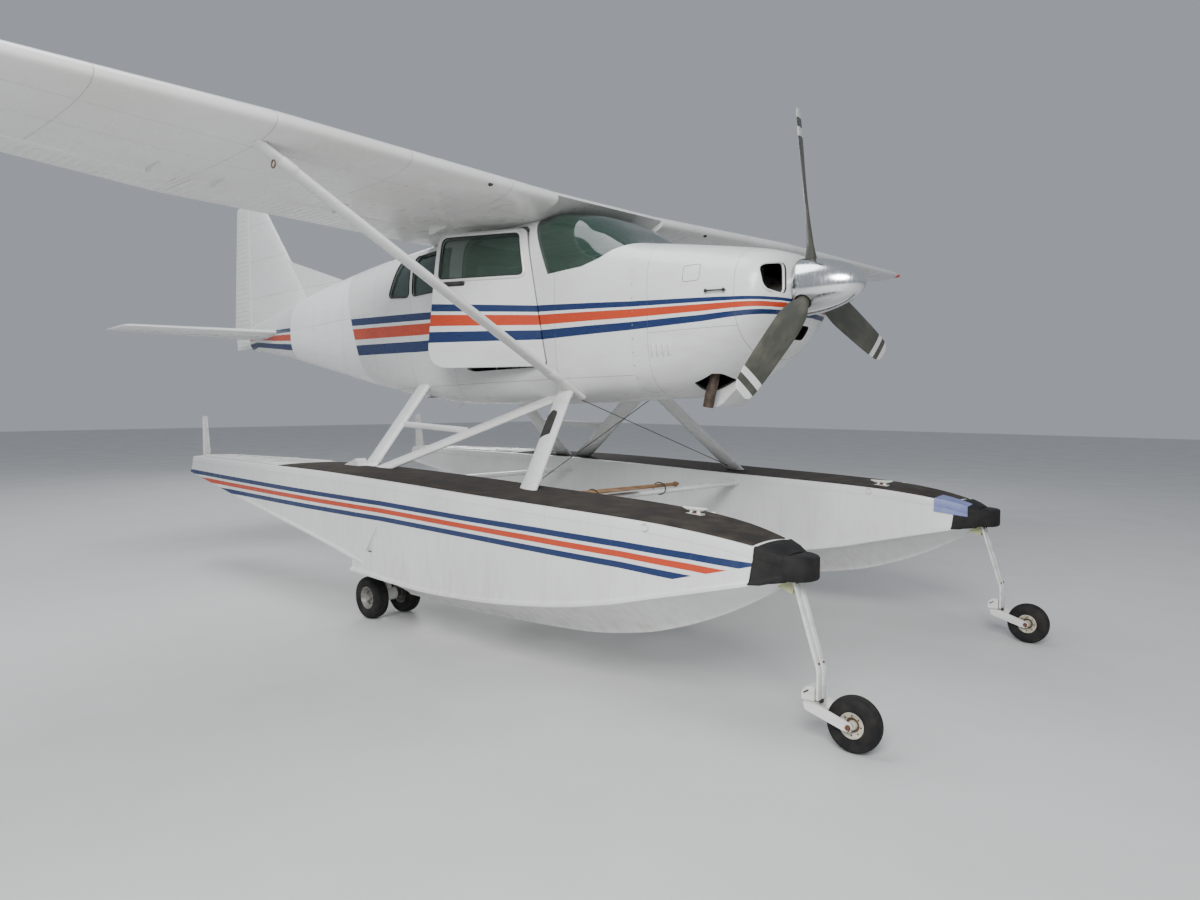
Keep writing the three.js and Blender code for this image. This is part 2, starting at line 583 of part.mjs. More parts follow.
const RUDDER = { low: 640, high: 2290, base: 43, top: 20, tip: 2300 };
const rudderAxis = { from: vec(RUDDER_AXIS_X, 0, RUDDER.low), to: vec(RUDDER_AXIS_X, 0, RUDDER.high) };
const rudderNose = (grow) =>
  rod(rudderAxis.from, rudderAxis.to, RUDDER.base + grow, 12, RUDDER.top + grow);
const rudderHinges = hingeLugs(rudderAxis, [0.28, 0.58, 0.88], RUN_GAP + 16,
  (share) => RUDDER.base + (RUDDER.top - RUDDER.base) * share);
const behindFin = (x, low, high) => box(x - FAR - 200, x, -FAR, FAR, low, high);
const rudder = finBody.intersect(behindFin(RUDDER_AXIS_X, RUDDER.low, RUDDER.tip)).add(rudderNose(0))
  .subtract(rudderHinges.slots);
const tailCone = fuselageBody(CABIN_REAR - SEAT_GAP, TAIL_END)
  .subtract(fuselageBody(CABIN_REAR + 1, TAIL_HOLLOW_END, TAIL_WALL))
  .subtract(tailplaneBody(SEAT_GAP))
  .subtract(torqueTube(TORQUE_TUBE.half, RUN_GAP, 24))
  .subtract(rudderNose(RUN_GAP));
const DORSAL_HALF = 13;
const dorsal = across(polygon(DORSAL), -DORSAL_HALF, DORSAL_HALF);
const fin = finBody.subtract(behindFin(RUDDER_AXIS_X + RUN_GAP, RUDDER.low - FAR, RUDDER.tip + FAR))
  .subtract(rudderNose(RUN_GAP)).add(dorsal).add(rudderHinges.lugs)
  .subtract(fuselageBody(CABIN_REAR, TAIL_END - 1, -SEAT_GAP));
piece(airframe, 'rudder', largest(rudder), WHITE);
piece(airframe, 'tail_cone', largest(tailCone), WHITE);
piece(airframe, 'fin', largest(fin), WHITE);
axes.rudder = [rudderAxis.from, rudderAxis.to].map((p) => overFloor(p.toArray()));

// Engine, cowling and propeller

const INTAKE = { inner: 205, outer: 402, low: 488, high: 684, slope: 22, radius: 60 };
const CHIN = { half: 130, low: 242, high: 325 };
// The air outlet under the cowling, seen from the side
const OUTLET = { side: [[620, -5], [470, -140], [420, -165], [395, -150], [395, -40]], half: 130 };
const SHAFT = { radius: 46, hole: 62, start: 700 };
const HUB = { radius: 66, half: 62 };
const EXHAUST = { x: 485, y: -235, radius: 34, tip: -165, head: 360, rake: 60 };
const CASE = { back: 190, front: 770, half: 330, low: 330, high: 640 };
const SUMP = { back: 240, front: 700, half: 110, low: 180, high: 360 };
// The engine hangs on four tubes from the firewall's corners
const MOUNT_TUBE = { radius: 14, out: 240, in: 100, back: -20, front: 260 };
const TUBE_HEIGHTS = [[600, 480], [250, 340]]; // Columns: z at the firewall, z at the engine
// What cuts the cowling's front
const NOSE_CUT = { back: 850, front: 1010 };
const intakes = [1, -1].map((side) => {
  const { inner, outer, low, high, slope, radius } = INTAKE;
  const shape = roundedOutline([[inner, low], [inner, high], [outer, high - slope], [outer, low + slope]]
    .map(([y, z]) => [side * y, z, radius]));
  const depth = NOSE_CUT.front - NOSE_CUT.back;
  return solidOf(new THREE.ExtrudeGeometry(shape, { depth, bevelEnabled: false, curveSegments: 2 })
    .rotateX(Math.PI / 2).rotateZ(Math.PI / 2).translate(NOSE_CUT.back, 0, 0));
});
const chin = box(NOSE_CUT.back, NOSE_CUT.front, -CHIN.half, CHIN.half, CHIN.low, CHIN.high);
const shaftHole = rod(vec(NOSE_CUT.back, 0, PROP.z), vec(NOSE_CUT.front, 0, PROP.z), SHAFT.hole, 24);
const outlet = across(polygon(OUTLET.side), -OUTLET.half, OUTLET.half);
const exhaustWindow = box(EXHAUST.x - 95, EXHAUST.x + 100, EXHAUST.y - 95, EXHAUST.y + 95, BELOW, 40);
const cowlHollow = fuselageBody(FUSELAGE[0][0] - COWL_WALL, -1, COWL_WALL);
const cowling = fuselageBody(FUSELAGE[0][0], SEAT_GAP).add(outlet)
  .subtract(join(cowlHollow, ...intakes, chin, exhaustWindow, shaftHole));
piece(airframe, 'cowling', largest(cowling), WHITE);

const blockOf = ({ back, front, half, low, high }) => box(back, front, -half, half, low, high);
const engine = join(
  blockOf(CASE),
  blockOf(SUMP),
  rod(vec(SHAFT.start, 0, PROP.z), vec(PROP.x - HUB.half - SEAT_GAP, 0, PROP.z), SHAFT.radius, 24),
  ...[1, -1].flatMap((side) => TUBE_HEIGHTS.map(([atWall, atCase]) =>
    rod(vec(MOUNT_TUBE.back, side * MOUNT_TUBE.out, atWall),
      vec(MOUNT_TUBE.front, side * MOUNT_TUBE.in, atCase), MOUNT_TUBE.radius, 10))),
  rod(vec(EXHAUST.x, EXHAUST.y, EXHAUST.head), vec(EXHAUST.x - EXHAUST.rake, EXHAUST.y, EXHAUST.tip),
    EXHAUST.radius, 20),
).subtract(box(-FAR, SEAT_GAP, -FAR, FAR, 0, 2 * FAR));
piece(airframe, 'engine_block', engine, STEEL);

// Blade sections. Columns: radius, chord, thickness, pitch in degrees
const BLADE_SECTIONS = [[60, 78, 76, 50], [170, 84, 66, 46], [250, 138, 34, 40], [420, 168, 24, 31],
  [700, 164, 17, 23], [940, 146, 11, 19], [1010, 120, 8, 18], [PROP.r, 70, 6, 18]];
function bladeRing([r, chord, thick, pitch]) {
  const [c, s] = [Math.cos(rad(pitch)), Math.sin(rad(pitch))];
  return Array.from({ length: 10 }, (_, k) => {
    const at = (k / 10) * 2 * Math.PI;
    const [u, w] = [chord / 2 * Math.cos(at), thick / 2 * Math.sin(at)];
    return [u * s + w * c, -u * c + w * s, r];
  });
}
const atHub = (solid, turn) => solid.rotate([turn, 0, 0]).translate([PROP.x, 0, PROP.z]);
const bladeTurns = Array.from({ length: PROP.blades }, (_, k) => PROP.lean + (k * 360) / PROP.blades);
const blades = bladeTurns.map((turn) => atHub(loft(BLADE_SECTIONS.map(bladeRing)), turn));
const hub = rod(vec(PROP.x - HUB.half, 0, PROP.z), vec(PROP.x + HUB.half, 0, PROP.z), HUB.radius, 20);
piece(airframe, 'propeller', join(hub, ...blades), BLADE);
const SPINNER = { base: 985, tip: 1379, radius: 172, wall: 5, power: 1.75, steps: 6, shank: 48 };
const spinnerProfile = (inset) => {
  const length = SPINNER.tip - SPINNER.base - 2 * inset;
  const arc = Array.from({ length: SPINNER.steps + 1 }, (_, k) => {
    const share = k / SPINNER.steps;
    const radius = (SPINNER.radius - inset) * Math.sqrt(1 - share ** SPINNER.power);
    return new THREE.Vector2(radius, length * share);
  });
  arc.at(-1).x = 0;
  return [new THREE.Vector2(0, 0), ...arc];
};
const spinnerBody = (inset, x) => solidOf(new THREE.LatheGeometry(spinnerProfile(inset), 24)
  .rotateZ(-Math.PI / 2).translate(x, 0, PROP.z));
const shankHoles = bladeTurns.map((turn) =>
  atHub(rod(vec(0, 0, 50), vec(0, 0, 200), SPINNER.shank, 12), turn));
const hubHole = rod(vec(900, 0, PROP.z), vec(1000, 0, PROP.z), HUB.radius + SEAT_GAP, 20);
const spinner = spinnerBody(0, SPINNER.base)
  .subtract(join(spinnerBody(SPINNER.wall, SPINNER.base + SPINNER.wall), hubHole, ...shankHoles));
piece(airframe, 'spinner', largest(spinner), POLISHED);
axes.propeller = [SPINNER.base, SPINNER.tip].map((x) => overFloor([x, 0, PROP.z]));

// Cabin fittings

const PANEL = { back: -330, front: -230, half: 430, low: 520, high: 780 };
const GLARE_SHIELD = { back: -380, front: -60, half: 350, low: 780, high: 815 };
const PEDESTAL = { back: -330, front: -250, half: 60, low: FLOOR_Z + SEAT_GAP, high: 560 };
const CONTROL_WHEEL = { y: 260, z: 640, from: -330, to: -520, column: 12, half: 150, thick: 24 };
function controlWheel(side) {
  const { y, z, from, to, column, half, thick } = CONTROL_WHEEL;
  const rim = to + thick / 6;
  return join(rod(vec(from, side * y, z), vec(to, side * y, z), column),
    box(rim - thick, rim, side * y - half, side * y + half, z - thick / 2, z + thick / 2));
}
const panel = join(...[PANEL, GLARE_SHIELD, PEDESTAL].map(blockOf), controlWheel(1), controlWheel(-1));
piece(airframe, 'instrument_panel', panel, TRIM);

// A seat is measured back from its front edge. Columns: x back from that edge, z
const CUSHION = [[0, 210], [0, 340], [480, 340], [480, 210]];
const BACKREST = [[400, 260], [520, 960], [620, 960], [520, 260]];
const SEAT_LEG = { front: 60, back: 440, inset: 100, thick: 30, top: 260 };
const PAD_RADIUS = 40;
const FRONT_SEAT = { x: -960, inner: 60, outer: 480 };
const REAR_SEAT = { x: -1820, half: 430 };
const SEAT_TIE = { back: -1300, front: -1240, half: 200, low: FLOOR_Z + SEAT_GAP, high: 0 };
function seat(x, y0, y1, floor) {
  const pad = (corners) =>
    across(roundedOutline(corners.map(([back, z]) => [x - back, z, PAD_RADIUS])), y0, y1);
  const leg = (y) => box(x - SEAT_LEG.back, x - SEAT_LEG.front, y, y + SEAT_LEG.thick,
    floor + SEAT_GAP, SEAT_LEG.top);
  const legs = [y0 + SEAT_LEG.inset, y1 - SEAT_LEG.inset - SEAT_LEG.thick].map(leg);
  return join(pad(CUSHION), pad(BACKREST), ...legs);
}
const { x: seatX, inner: seatInner, outer: seatOuter } = FRONT_SEAT;
const frontSeats = join(seat(seatX, seatInner, seatOuter, FLOOR_Z),
  seat(seatX, -seatOuter, -seatInner, FLOOR_Z), blockOf(SEAT_TIE));
piece(airframe, 'front_seats', frontSeats, TRIM);
const rearSeat = seat(REAR_SEAT.x, -REAR_SEAT.half, REAR_SEAT.half, REAR_FLOOR.z);
piece(airframe, 'rear_seat', rearSeat, TRIM);

// Float hulls with their cleats, wheel wells and rudder forks

function floatRing([x, keel, chine, chineHalf, foot, deck, deckHalf], grow, y0) {
  const rise = chine - keel;
  const half = [[0, keel], [14, keel], [chineHalf * 0.5, keel + rise * 0.6],
    [chineHalf * 0.82, chine - rise * 0.06], [chineHalf, chine - 8], [chineHalf, chine + 10],
    [foot, chine + 20], [deckHalf + 8, deck - 50], [deckHalf, deck - 10], [deckHalf - 14, deck],
    [0, deck + 10]];
  const mid = (keel + deck) / 2;
  const grown = half.map(([y, z]) => [y + (y > 0 ? grow : 0), z + Math.sign(z - mid) * grow]);
  const left = grown.slice(1, -1).reverse().map(([y, z]) => [-y, z]);
  return [...grown, ...left].map(([y, z]) => [x, y0 + y, z]);
}

const hullBody = (grow, y0) => join(...[FOREBODY, AFTERBODY].map((rows) =>
  loft(rows.map((row) => floatRing(row, grow, y0)))));

function bumperZone(y0, gap) {
  const [back, low, high] = [BUMPER.back + gap, BUMPER.low + gap, BUMPER.low + FAR];
  const side = [[back, low], [back + FAR * BUMPER.lean, high], [back + FAR, high], [back + FAR, low]];
  return across(polygon(side), y0 - FAR, y0 + FAR);
}

function behindTransom(y0) {
  const { foot, head } = TRANSOM;
  const lean = (head[0] - foot[0]) / (head[1] - foot[1]);
  const top = head[1] + FAR;
  const side = [foot, [foot[0] - FAR, foot[1]], [foot[0] - FAR, top], [head[0] + lean * FAR, top]];
  return across(polygon(side), y0 - FAR, y0 + FAR);
}

function rudderFork(y0) {
  const { x, z, hub } = WATER_RUDDER;
  return join(...[1, -1].flatMap((side) => {
    const [near, far] = [hub, hub + RUDDER_FORK.thick].map((y) => y0 + side * y);
    return [rod(vec(x, near, z), vec(x, far, z), RUDDER_FORK.radius),
      box(x, TRANSOM.head[0] + RUDDER_FORK.root, near, far, z - RUDDER_FORK.half, z + RUDDER_FORK.half)];
  }));
}

function bowCleat(side) {
  const { x, y, top, head, post, bar, half, root } = CLEAT;
  const slab = (reach, low, high) =>
    box(x - reach, x + reach, side * y - half, side * y + half, low, high);
  return join(slab(post, root, top - 1), slab(bar, top - head, top));
}

function floatHull(side) {
  const y0 = side * FLOAT_Y;
  const well = box(WELL.back, WELL.front, y0 - WELL.half, y0 + WELL.half, 0, WELL.top);
  const notch = box(STEP_X - FAR / 20, STEP_NOTCH.front, y0 - FAR, y0 + FAR, 0, STEP_NOTCH.top);
  return hullBody(0, y0).add(bowCleat(side))
    .subtract(join(well, notch, bumperZone(y0, 0), behindTransom(y0))).add(rudderFork(y0));
}

function bowBumper(y0) {
  const nose = rod(vec(BUMPER.nose, y0, BUMPER.nose_low), vec(BUMPER.nose, y0, BUMPER.nose_high),
    BUMPER.radius, 24);
  return hullBody(6, y0).intersect(bumperZone(y0, SEAT_GAP)).add(nose);
}

function waterRudder(y0) {
  const { x, z, thick, hub, boss } = WATER_RUDDER;
  const reach = hub - SEAT_GAP;
  return across(polygon(WATER_RUDDER_SIDE), y0 - thick / 2, y0 + thick / 2)
    .add(rod(vec(x, y0 - reach, z), vec(x, y0 + reach, z), boss));
}

for (const [name, side] of SIDES) {
  const y0 = side * FLOAT_Y;
  piece(floats, `float_hull_${name}`, largest(floatHull(side)), WHITE);
  piece(floats, `bow_bumper_${name}`, largest(bowBumper(y0)), RUBBER);
  piece(floats, `water_rudder_${name}`, waterRudder(y0), WHITE);
  axes[`water_rudder_${name}`] = [0, -100].map((y) => vec(WATER_RUDDER.x, y0 + y, WATER_RUDDER.z));
}
for (const [name, x] of Object.entries(SPREADERS)) {
  const bar = fairedBar(vec(x, -FLOAT_Y, SPREADER.z), vec(x, FLOAT_Y, SPREADER.z),
    SPREADER.chord, SPREADER.thick);
  const trimmed = SIDES.reduce((rest, [, side]) => rest.subtract(hullBody(SEAT_GAP, side * FLOAT_Y)), bar);
  piece(floats, `spreader_${name}`, largest(trimmed), WHITE);
}

// Struts: the wing strut's foot and the heads of the float struts share one fitting

const STRUT_OVERRUN = 90; // each strut is drawn long and cut by what it lands on
const grownWing = wingBody(SEAT_GAP);
const grownBody = fuselageBody(FUSELAGE[0][0], CABIN_REAR, -SEAT_GAP);
const intoAirframe = airframe.matrix.clone().invert().toArray();
for (const [name, side] of SIDES) {
  const point = ([x, y, z]) => vec(x, side * y, z);
  const bar = (key, grow) => {
    const { foot, head, chord, thick } = STRUTS[key];
    return fairedBar(point(foot), point(head), chord, thick, grow, STRUT_OVERRUN);
  };
  const stepBar = (grow) =>
    fairedBar(point(STEP_BAR.from), point(STEP_BAR.to), STEP_BAR.chord, STEP_BAR.thick, grow);
  const rearFoot = across(polygon(REAR_FOOT.side),
    side * (REAR_FOOT.y - REAR_FOOT.half), side * (REAR_FOOT.y + REAR_FOOT.half));
  const hull = hullBody(SEAT_GAP, side * FLOAT_Y).transform(intoAirframe);
  const trimmed = (solid, ...others) =>
    largest([hull, grownBody, onSide(grownWing, side), ...others].reduce((a, b) => a.subtract(b), solid));
  const neighbours = ['wing', 'front', 'rear'].map((key) => bar(key, SEAT_GAP));
  piece(airframe, `wing_strut_${name}`, trimmed(bar('wing', 0)), WHITE);
  piece(airframe, `front_strut_${name}`, trimmed(bar('front', 0), neighbours[0]), WHITE);
  piece(airframe, `rear_strut_${name}`, trimmed(join(bar('rear', 0), stepBar(0), rearFoot)), WHITE);
  piece(airframe, `brace_strut_${name}`,
    trimmed(bar('brace', 0), ...neighbours, stepBar(SEAT_GAP), rearFoot), WHITE);
}

// Main wheels: a leg between twin wheels on one axle

function tyre({ x, r, width, rim }, y) {
  const [bead, shoulder, tread] = [0.36, 0.5, 0.34].map((share) => share * width);
  const [seat, wall, crown] = [rim + SEAT_GAP, r - 34, r - 7];
  const half = [[seat, bead], [seat + 16, shoulder], [wall, shoulder], [crown, tread]];
  const mirror = half.map(([radius, h]) => [radius, -h]);
  return turnedOnAxle([...mirror, [r, 0], ...half.reverse(), mirror[0]], x, y, r);
}

const onMainAxle = (y) => vec(MAIN_WHEEL.x, y, MAIN_WHEEL.r);
function mainLeg(y0) {
  const { bore, boss, half } = MAIN_AXLE;
  const head = vec(MAIN_LEG.head[0], y0, MAIN_LEG.head[1]);
  return rod(onMainAxle(y0 - half), onMainAxle(y0 + half), boss, 16)
    .add(fairedBar(onMainAxle(y0), head, MAIN_LEG.chord, MAIN_LEG.thick))
    .subtract(rod(onMainAxle(y0 - 2 * half), onMainAxle(y0 + 2 * half), bore, 16))
    .subtract(box(WELL.back, WELL.front, y0 - FAR, y0 + FAR, WELL.top - SEAT_GAP, WELL.top + FAR));
}

function mainAxle(y0) {
  const { bearing, half, collar, collar_width: width } = MAIN_AXLE;
  const { rim, hub, x, r, offset } = MAIN_WHEEL;
  const hubAt = (y) => turnedOnAxle([[0, -hub], [rim, -hub], [rim, hub], [0, hub]], x, y, r);
  const collarAt = (side) => rod(onMainAxle(y0 + side * (half + SEAT_GAP)),
    onMainAxle(y0 + side * (half + width)), collar, 16);
  return join(rod(onMainAxle(y0 - offset), onMainAxle(y0 + offset), bearing, 16),
    ...[1, -1].flatMap((side) => [hubAt(y0 + side * offset), collarAt(side)]));
}

for (const [name, side] of SIDES) {
  const y0 = side * FLOAT_Y;
  piece(floats, `main_leg_${name}`, mainLeg(y0), WHITE);
  piece(floats, `main_axle_${name}`, mainAxle(y0), RIM);
  for (const [which, way] of [['inner', -1], ['outer', 1]]) {
    const solid = tyre(MAIN_WHEEL, y0 + way * side * MAIN_WHEEL.offset);
    piece(floats, `main_tyre_${name}_${which}`, solid, RUBBER);
  }
  axes[`main_wheels_${name}`] = [-1, 1].map((way) => onMainAxle(y0 + way * MAIN_WHEEL.offset));
}

// Nose wheels: a leg of two leaves, the caster box, its fork and a wheel

function noseLeg(y0) {
  const { head, knee, apart, half, thick } = NOSE_LEG;
  const foot = [knee[0], CASTER.bottom + 20];
  const front = knee[0] + thick / 2;
  const leaf = (middle) => loft([head, knee, foot].map(([x, z]) =>
    SQUARE.map(([u, v]) => [x + (u * thick) / 2, middle - v * half, z])));
  return join(leaf(y0 - apart), leaf(y0 + apart),
    box(CASTER.x - CASTER.back, front, y0 - CASTER.half, y0 + CASTER.half, CASTER.bottom, CASTER.top),
    box(LEG_PAD.back, LEG_PAD.front, y0 - LEG_PAD.half, y0 + LEG_PAD.half, LEG_PAD.low, LEG_PAD.high),
  ).subtract(hullBody(SEAT_GAP, y0));
}

const onNoseAxle = (y) => vec(NOSE_WHEEL.x, y, NOSE_WHEEL.r);
function noseFork(y0) {
  const top = CASTER.bottom - SEAT_GAP;
  const width = FORK.out + FORK.half;
  const arm = (middle) => loft(FORK_ARM.map(([x, z, half]) =>
    SQUARE.map(([u, v]) => [x, middle + v * FORK.half, z + u * half])));
  const [back, front] = FORK.crown_ends.map((x) => CASTER.x + x);
  return join(
    rod(vec(CASTER.x, y0, top - CASTER.disc_thick), vec(CASTER.x, y0, top), CASTER.disc, 24),
    box(back, front, y0 - width, y0 + width, CASTER.bottom - FORK.crown, top - 2),
    arm(y0 - FORK.out), arm(y0 + FORK.out),
    rod(onNoseAxle(y0 - width), onNoseAxle(y0 + width), NOSE_WHEEL.axle, 20),
  );
}

function noseHub(y0) {
  const { x, r, rim, hub, axle } = NOSE_WHEEL;
  const bore = axle + SEAT_GAP;
  return turnedOnAxle([[bore, -hub], [rim, 6 - hub], [rim, hub - 6], [bore, hub], [bore, -hub]], x, y0, r);
}

for (const [name, side] of SIDES) {
  const y0 = side * FLOAT_Y;
  piece(floats, `nose_leg_${name}`, largest(noseLeg(y0)), WHITE);
  piece(floats, `nose_fork_${name}`, largest(noseFork(y0)), WHITE);
  piece(floats, `nose_hub_${name}`, noseHub(y0), RIM);
  piece(floats, `nose_tyre_${name}`, tyre(NOSE_WHEEL, y0), RUBBER);
  axes[`nose_wheel_${name}`] = [onNoseAxle(y0 - 50), onNoseAxle(y0 + 50)];
  axes[`nose_caster_${name}`] = [vec(CASTER.x, y0, 0), vec(CASTER.x, y0, 500)];
}

// The origin is under the middle of the object's box
plane.updateMatrixWorld(true);
const bounds = new THREE.Box3().setFromObject(plane, true);
plane.position.x = -Math.round((bounds.min.x + bounds.max.x) * 5) / 10;
plane.userData = { axes };

export default plane;
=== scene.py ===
import math

import bmesh
import bpy
import numpy as np
from mathutils import Matrix, Vector


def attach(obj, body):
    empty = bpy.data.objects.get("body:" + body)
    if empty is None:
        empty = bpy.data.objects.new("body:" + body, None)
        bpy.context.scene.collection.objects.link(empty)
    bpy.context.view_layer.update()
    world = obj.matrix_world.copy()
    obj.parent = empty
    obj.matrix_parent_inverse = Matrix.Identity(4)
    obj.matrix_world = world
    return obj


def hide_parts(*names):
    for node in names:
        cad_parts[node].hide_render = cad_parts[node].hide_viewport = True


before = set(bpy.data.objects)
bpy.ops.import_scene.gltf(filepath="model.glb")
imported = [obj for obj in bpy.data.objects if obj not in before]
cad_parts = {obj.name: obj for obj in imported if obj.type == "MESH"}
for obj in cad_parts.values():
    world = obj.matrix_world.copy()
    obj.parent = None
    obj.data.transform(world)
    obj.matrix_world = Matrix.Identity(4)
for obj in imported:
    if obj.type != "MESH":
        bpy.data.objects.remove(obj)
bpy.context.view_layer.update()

# Cowling: a two-part aluminium shell round the engine, with a rounded nose bowl and an intake on
# each side of the shaft. It is screwed to the firewall and painted white, with the stripes
# running forward on to the bowl, where they narrow.
NOSE_UP = math.radians(1.641)
FIREWALL_AHEAD = 2.2795
FIREWALL_FOOT = 1.670
AIRFRAME = Matrix.Translation((FIREWALL_AHEAD, 0, FIREWALL_FOOT)) @ Matrix.Rotation(-NOSE_UP, 4, "Y")
# Columns: x, half width, bottom z, top z, squareness below, squareness above
FUSELAGE = [
    (0.96, 0.330, 0.345, 0.742, 2.0, 2.4),
    (0.93, 0.400, 0.290, 0.760, 2.1, 2.6),
    (0.85, 0.448, 0.190, 0.787, 2.2, 2.9),
    (0.65, 0.478, 0.030, 0.826, 2.4, 3.4),
    (0.40, 0.489, -0.072, 0.868, 2.8, 4.0),
    (0.15, 0.491, -0.104, 0.908, 3.4, 4.6),
    (0.00, 0.493, -0.092, 0.930, 4.0, 5.0),
    (-0.06, 0.500, -0.095, 0.952, 4.2, 4.6),
    (-0.30, 0.530, -0.100, 1.105, 4.5, 3.2),
    (-0.52, 0.548, -0.105, 1.212, 5.0, 4.0),
    (-0.70, 0.560, -0.108, 1.225, 5.0, 6.0),
    (-1.20, 0.565, -0.110, 1.225, 5.0, 6.0),
    (-1.80, 0.556, -0.098, 1.225, 5.0, 6.0),
    (-2.25, 0.526, -0.062, 1.225, 4.6, 5.0),
    (-3.00, 0.455, 0.045, 1.226, 4.0, 3.4),
    (-4.10, 0.345, 0.258, 1.158, 3.4, 2.6),
    (-5.20, 0.212, 0.470, 1.012, 3.0, 2.4),
    (-6.10, 0.080, 0.608, 0.900, 2.6, 2.2),
]
RING_POINTS = 96
COWL_FRONT = 0.96
COWL_WALL = 0.014
INTAKE = {"inner": 0.205, "outer": 0.402, "low": 0.488, "high": 0.684, "slope": 0.022, "radius": 0.06}
CHIN = {"half": 0.13, "low": 0.242, "high": 0.325}
SHAFT_Z = 0.551
OUTLET_SIDE = [(0.62, -0.005), (0.47, -0.14), (0.42, -0.165), (0.395, -0.15), (0.395, -0.04)]
EXHAUST = {"x": 0.485, "y": -0.235, "radius": 0.034, "tip": -0.165}

WHITE = (0.80, 0.81, 0.80)
NAVY = (0.012, 0.030, 0.115)
RED = (0.56, 0.060, 0.020)
SIDES = (("left", 1), ("right", -1))


def eased(table, at):
    """A row between the rows of a table, with no kink where the rows meet."""
    rows = np.array(sorted(table), float)
    xs = rows[:, 0]
    slopes = np.diff(rows, axis=0) / np.diff(xs)[:, None]
    tangents = np.vstack([slopes[:1], np.zeros_like(slopes[1:]), slopes[-1:]])
    both = slopes[:-1] * slopes[1:]
    joined = slopes[:-1] + slopes[1:]
    tangents[1:-1] = np.where(both > 0, 2 * both / np.where(joined == 0, 1, joined), 0)
    i = int(np.clip(np.searchsorted(xs, at) - 1, 0, len(xs) - 2))
    step = xs[i + 1] - xs[i]
    t = (at - xs[i]) / step
    return ((2 * t**3 - 3 * t**2 + 1) * rows[i] + (t**3 - 2 * t**2 + t) * step * tangents[i]
            + (3 * t**2 - 2 * t**3) * rows[i + 1] + (t**3 - t**2) * step * tangents[i + 1])


def evenly(points, count):
    """The same closed outline with its points evenly spaced."""
    loop = np.vstack([points, points[:1]])
    length = np.concatenate([[0], np.cumsum(np.linalg.norm(np.diff(loop, axis=0), axis=1))])
    along = np.linspace(0, length[-1], count, endpoint=False)
    return np.stack([np.interp(along, length, loop[:, k]) for k in range(loop.shape[1])], 1)


def fuselage_ring(x, inset=0.0, count=RING_POINTS):
    _, half, low, high, below, above = eased(FUSELAGE, x)
    turn = (np.arange(480) + 0.5) / 480 * 2 * np.pi - np.pi / 2
    power = np.where(np.sin(turn) > 0, 2 / above, 2 / below)
    y = (half - inset) * np.sign(np.cos(turn)) * np.abs(np.cos(turn)) ** power
    z = (low + high) / 2 + ((high - low) / 2 - inset) * np.sign(np.sin(turn)) * np.abs(np.sin(turn)) ** power
    flat = evenly(np.stack([y, z], 1), count)
    return np.column_stack([np.full(count, x), flat])


def skin_y(x, z, out=0.0):
    """Half the fuselage's width at a height on its side."""
    _, half, low, high, below, above = eased(FUSELAGE, x)
    rise = (z - (low + high) / 2) / ((high - low) / 2)
    power = above if rise > 0 else below
    return half * max(0.0, 1 - abs(rise) ** power) ** (1 / power) + out


def skin_x(y, z):
    """How far forward the nose bowl reaches at a point seen from ahead."""
    near, far = 0.3, COWL_FRONT
    for _ in range(30):
        middle = (near + far) / 2
        near, far = (middle, far) if skin_y(middle, z) > abs(y) else (near, middle)
    return near


def mesh_object(name, points, faces):
    mesh = bpy.data.meshes.new(name)
    mesh.from_pydata([tuple(map(float, p)) for p in points], [], [tuple(map(int, f)) for f in faces])
    made = bpy.data.objects.new(name, mesh)
    bpy.context.scene.collection.objects.link(made)
    return made


def outward(made):
    shape = bmesh.new()
    shape.from_mesh(made.data)
    bmesh.ops.recalc_face_normals(shape, faces=shape.faces)
    if shape.calc_volume(signed=True) < 0:
        bmesh.ops.reverse_faces(shape, faces=shape.faces)
    shape.to_mesh(made.data)
    shape.free()
    return made


def loft(name, rings, capped=True, looped=False):
    """A skin over rings of points, its ends capped, or looped back to its first ring."""
    rings = np.asarray(rings, float)
    many, count = rings.shape[:2]
    index = np.arange(many * count).reshape(many, count)
    pairs = [(i, (i + 1) % many) for i in range(many if looped else many - 1)]
    faces = [(index[i, j], index[i, (j + 1) % count], index[k, (j + 1) % count], index[k, j])
             for i, k in pairs for j in range(count)]
    if capped and not looped:
        faces += [tuple(index[0][::-1]), tuple(index[-1])]
    return outward(mesh_object(name, rings.reshape(-1, 3), faces))


def evaluated_mesh(made):
    """The object's mesh with its modifiers applied, and the modifiers gone."""
    mesh = bpy.data.meshes.new_from_object(made.evaluated_get(bpy.context.evaluated_depsgraph_get()))
    made.modifiers.clear()
    made.data = mesh
    return made


def carve(made, *cutters, operation="DIFFERENCE", solver="EXACT"):
    for cutter in cutters:
        modifier = made.modifiers.new("carve", "BOOLEAN")
        modifier.operation = operation
        modifier.solver = solver
        modifier.material_mode = "TRANSFER"
        modifier.object = cutter
        evaluated_mesh(made)
        bpy.data.objects.remove(cutter)
    return made


def copy_of(made, name):
    twin = made.copy()
    twin.data = made.data.copy()
    twin.name = name
    bpy.context.scene.collection.objects.link(twin)
    return twin


def rounded(corners, steps=10):
    """An outline with rounded corners. Columns: u, v, corner radius."""
    outline = []
    for i, (u, v, radius) in enumerate(corners):
        corner = np.array([u, v], float)
        ends = []
        for other in (corners[i - 1], corners[(i + 1) % len(corners)]):
            away = np.array(other[:2], float) - corner
            ends.append(corner + away / np.linalg.norm(away) * radius)
        for t in np.linspace(0, 1, steps if radius else 1):
            outline.append((1 - t) ** 2 * ends[0] + 2 * t * (1 - t) * corner + t**2 * ends[1])
    return outline

def rounded_box(u0, u1, v0, v1, radius, steps=10):
    return rounded([(u0, v0, radius), (u0, v1, radius), (u1, v1, radius), (u1, v0, radius)], steps)


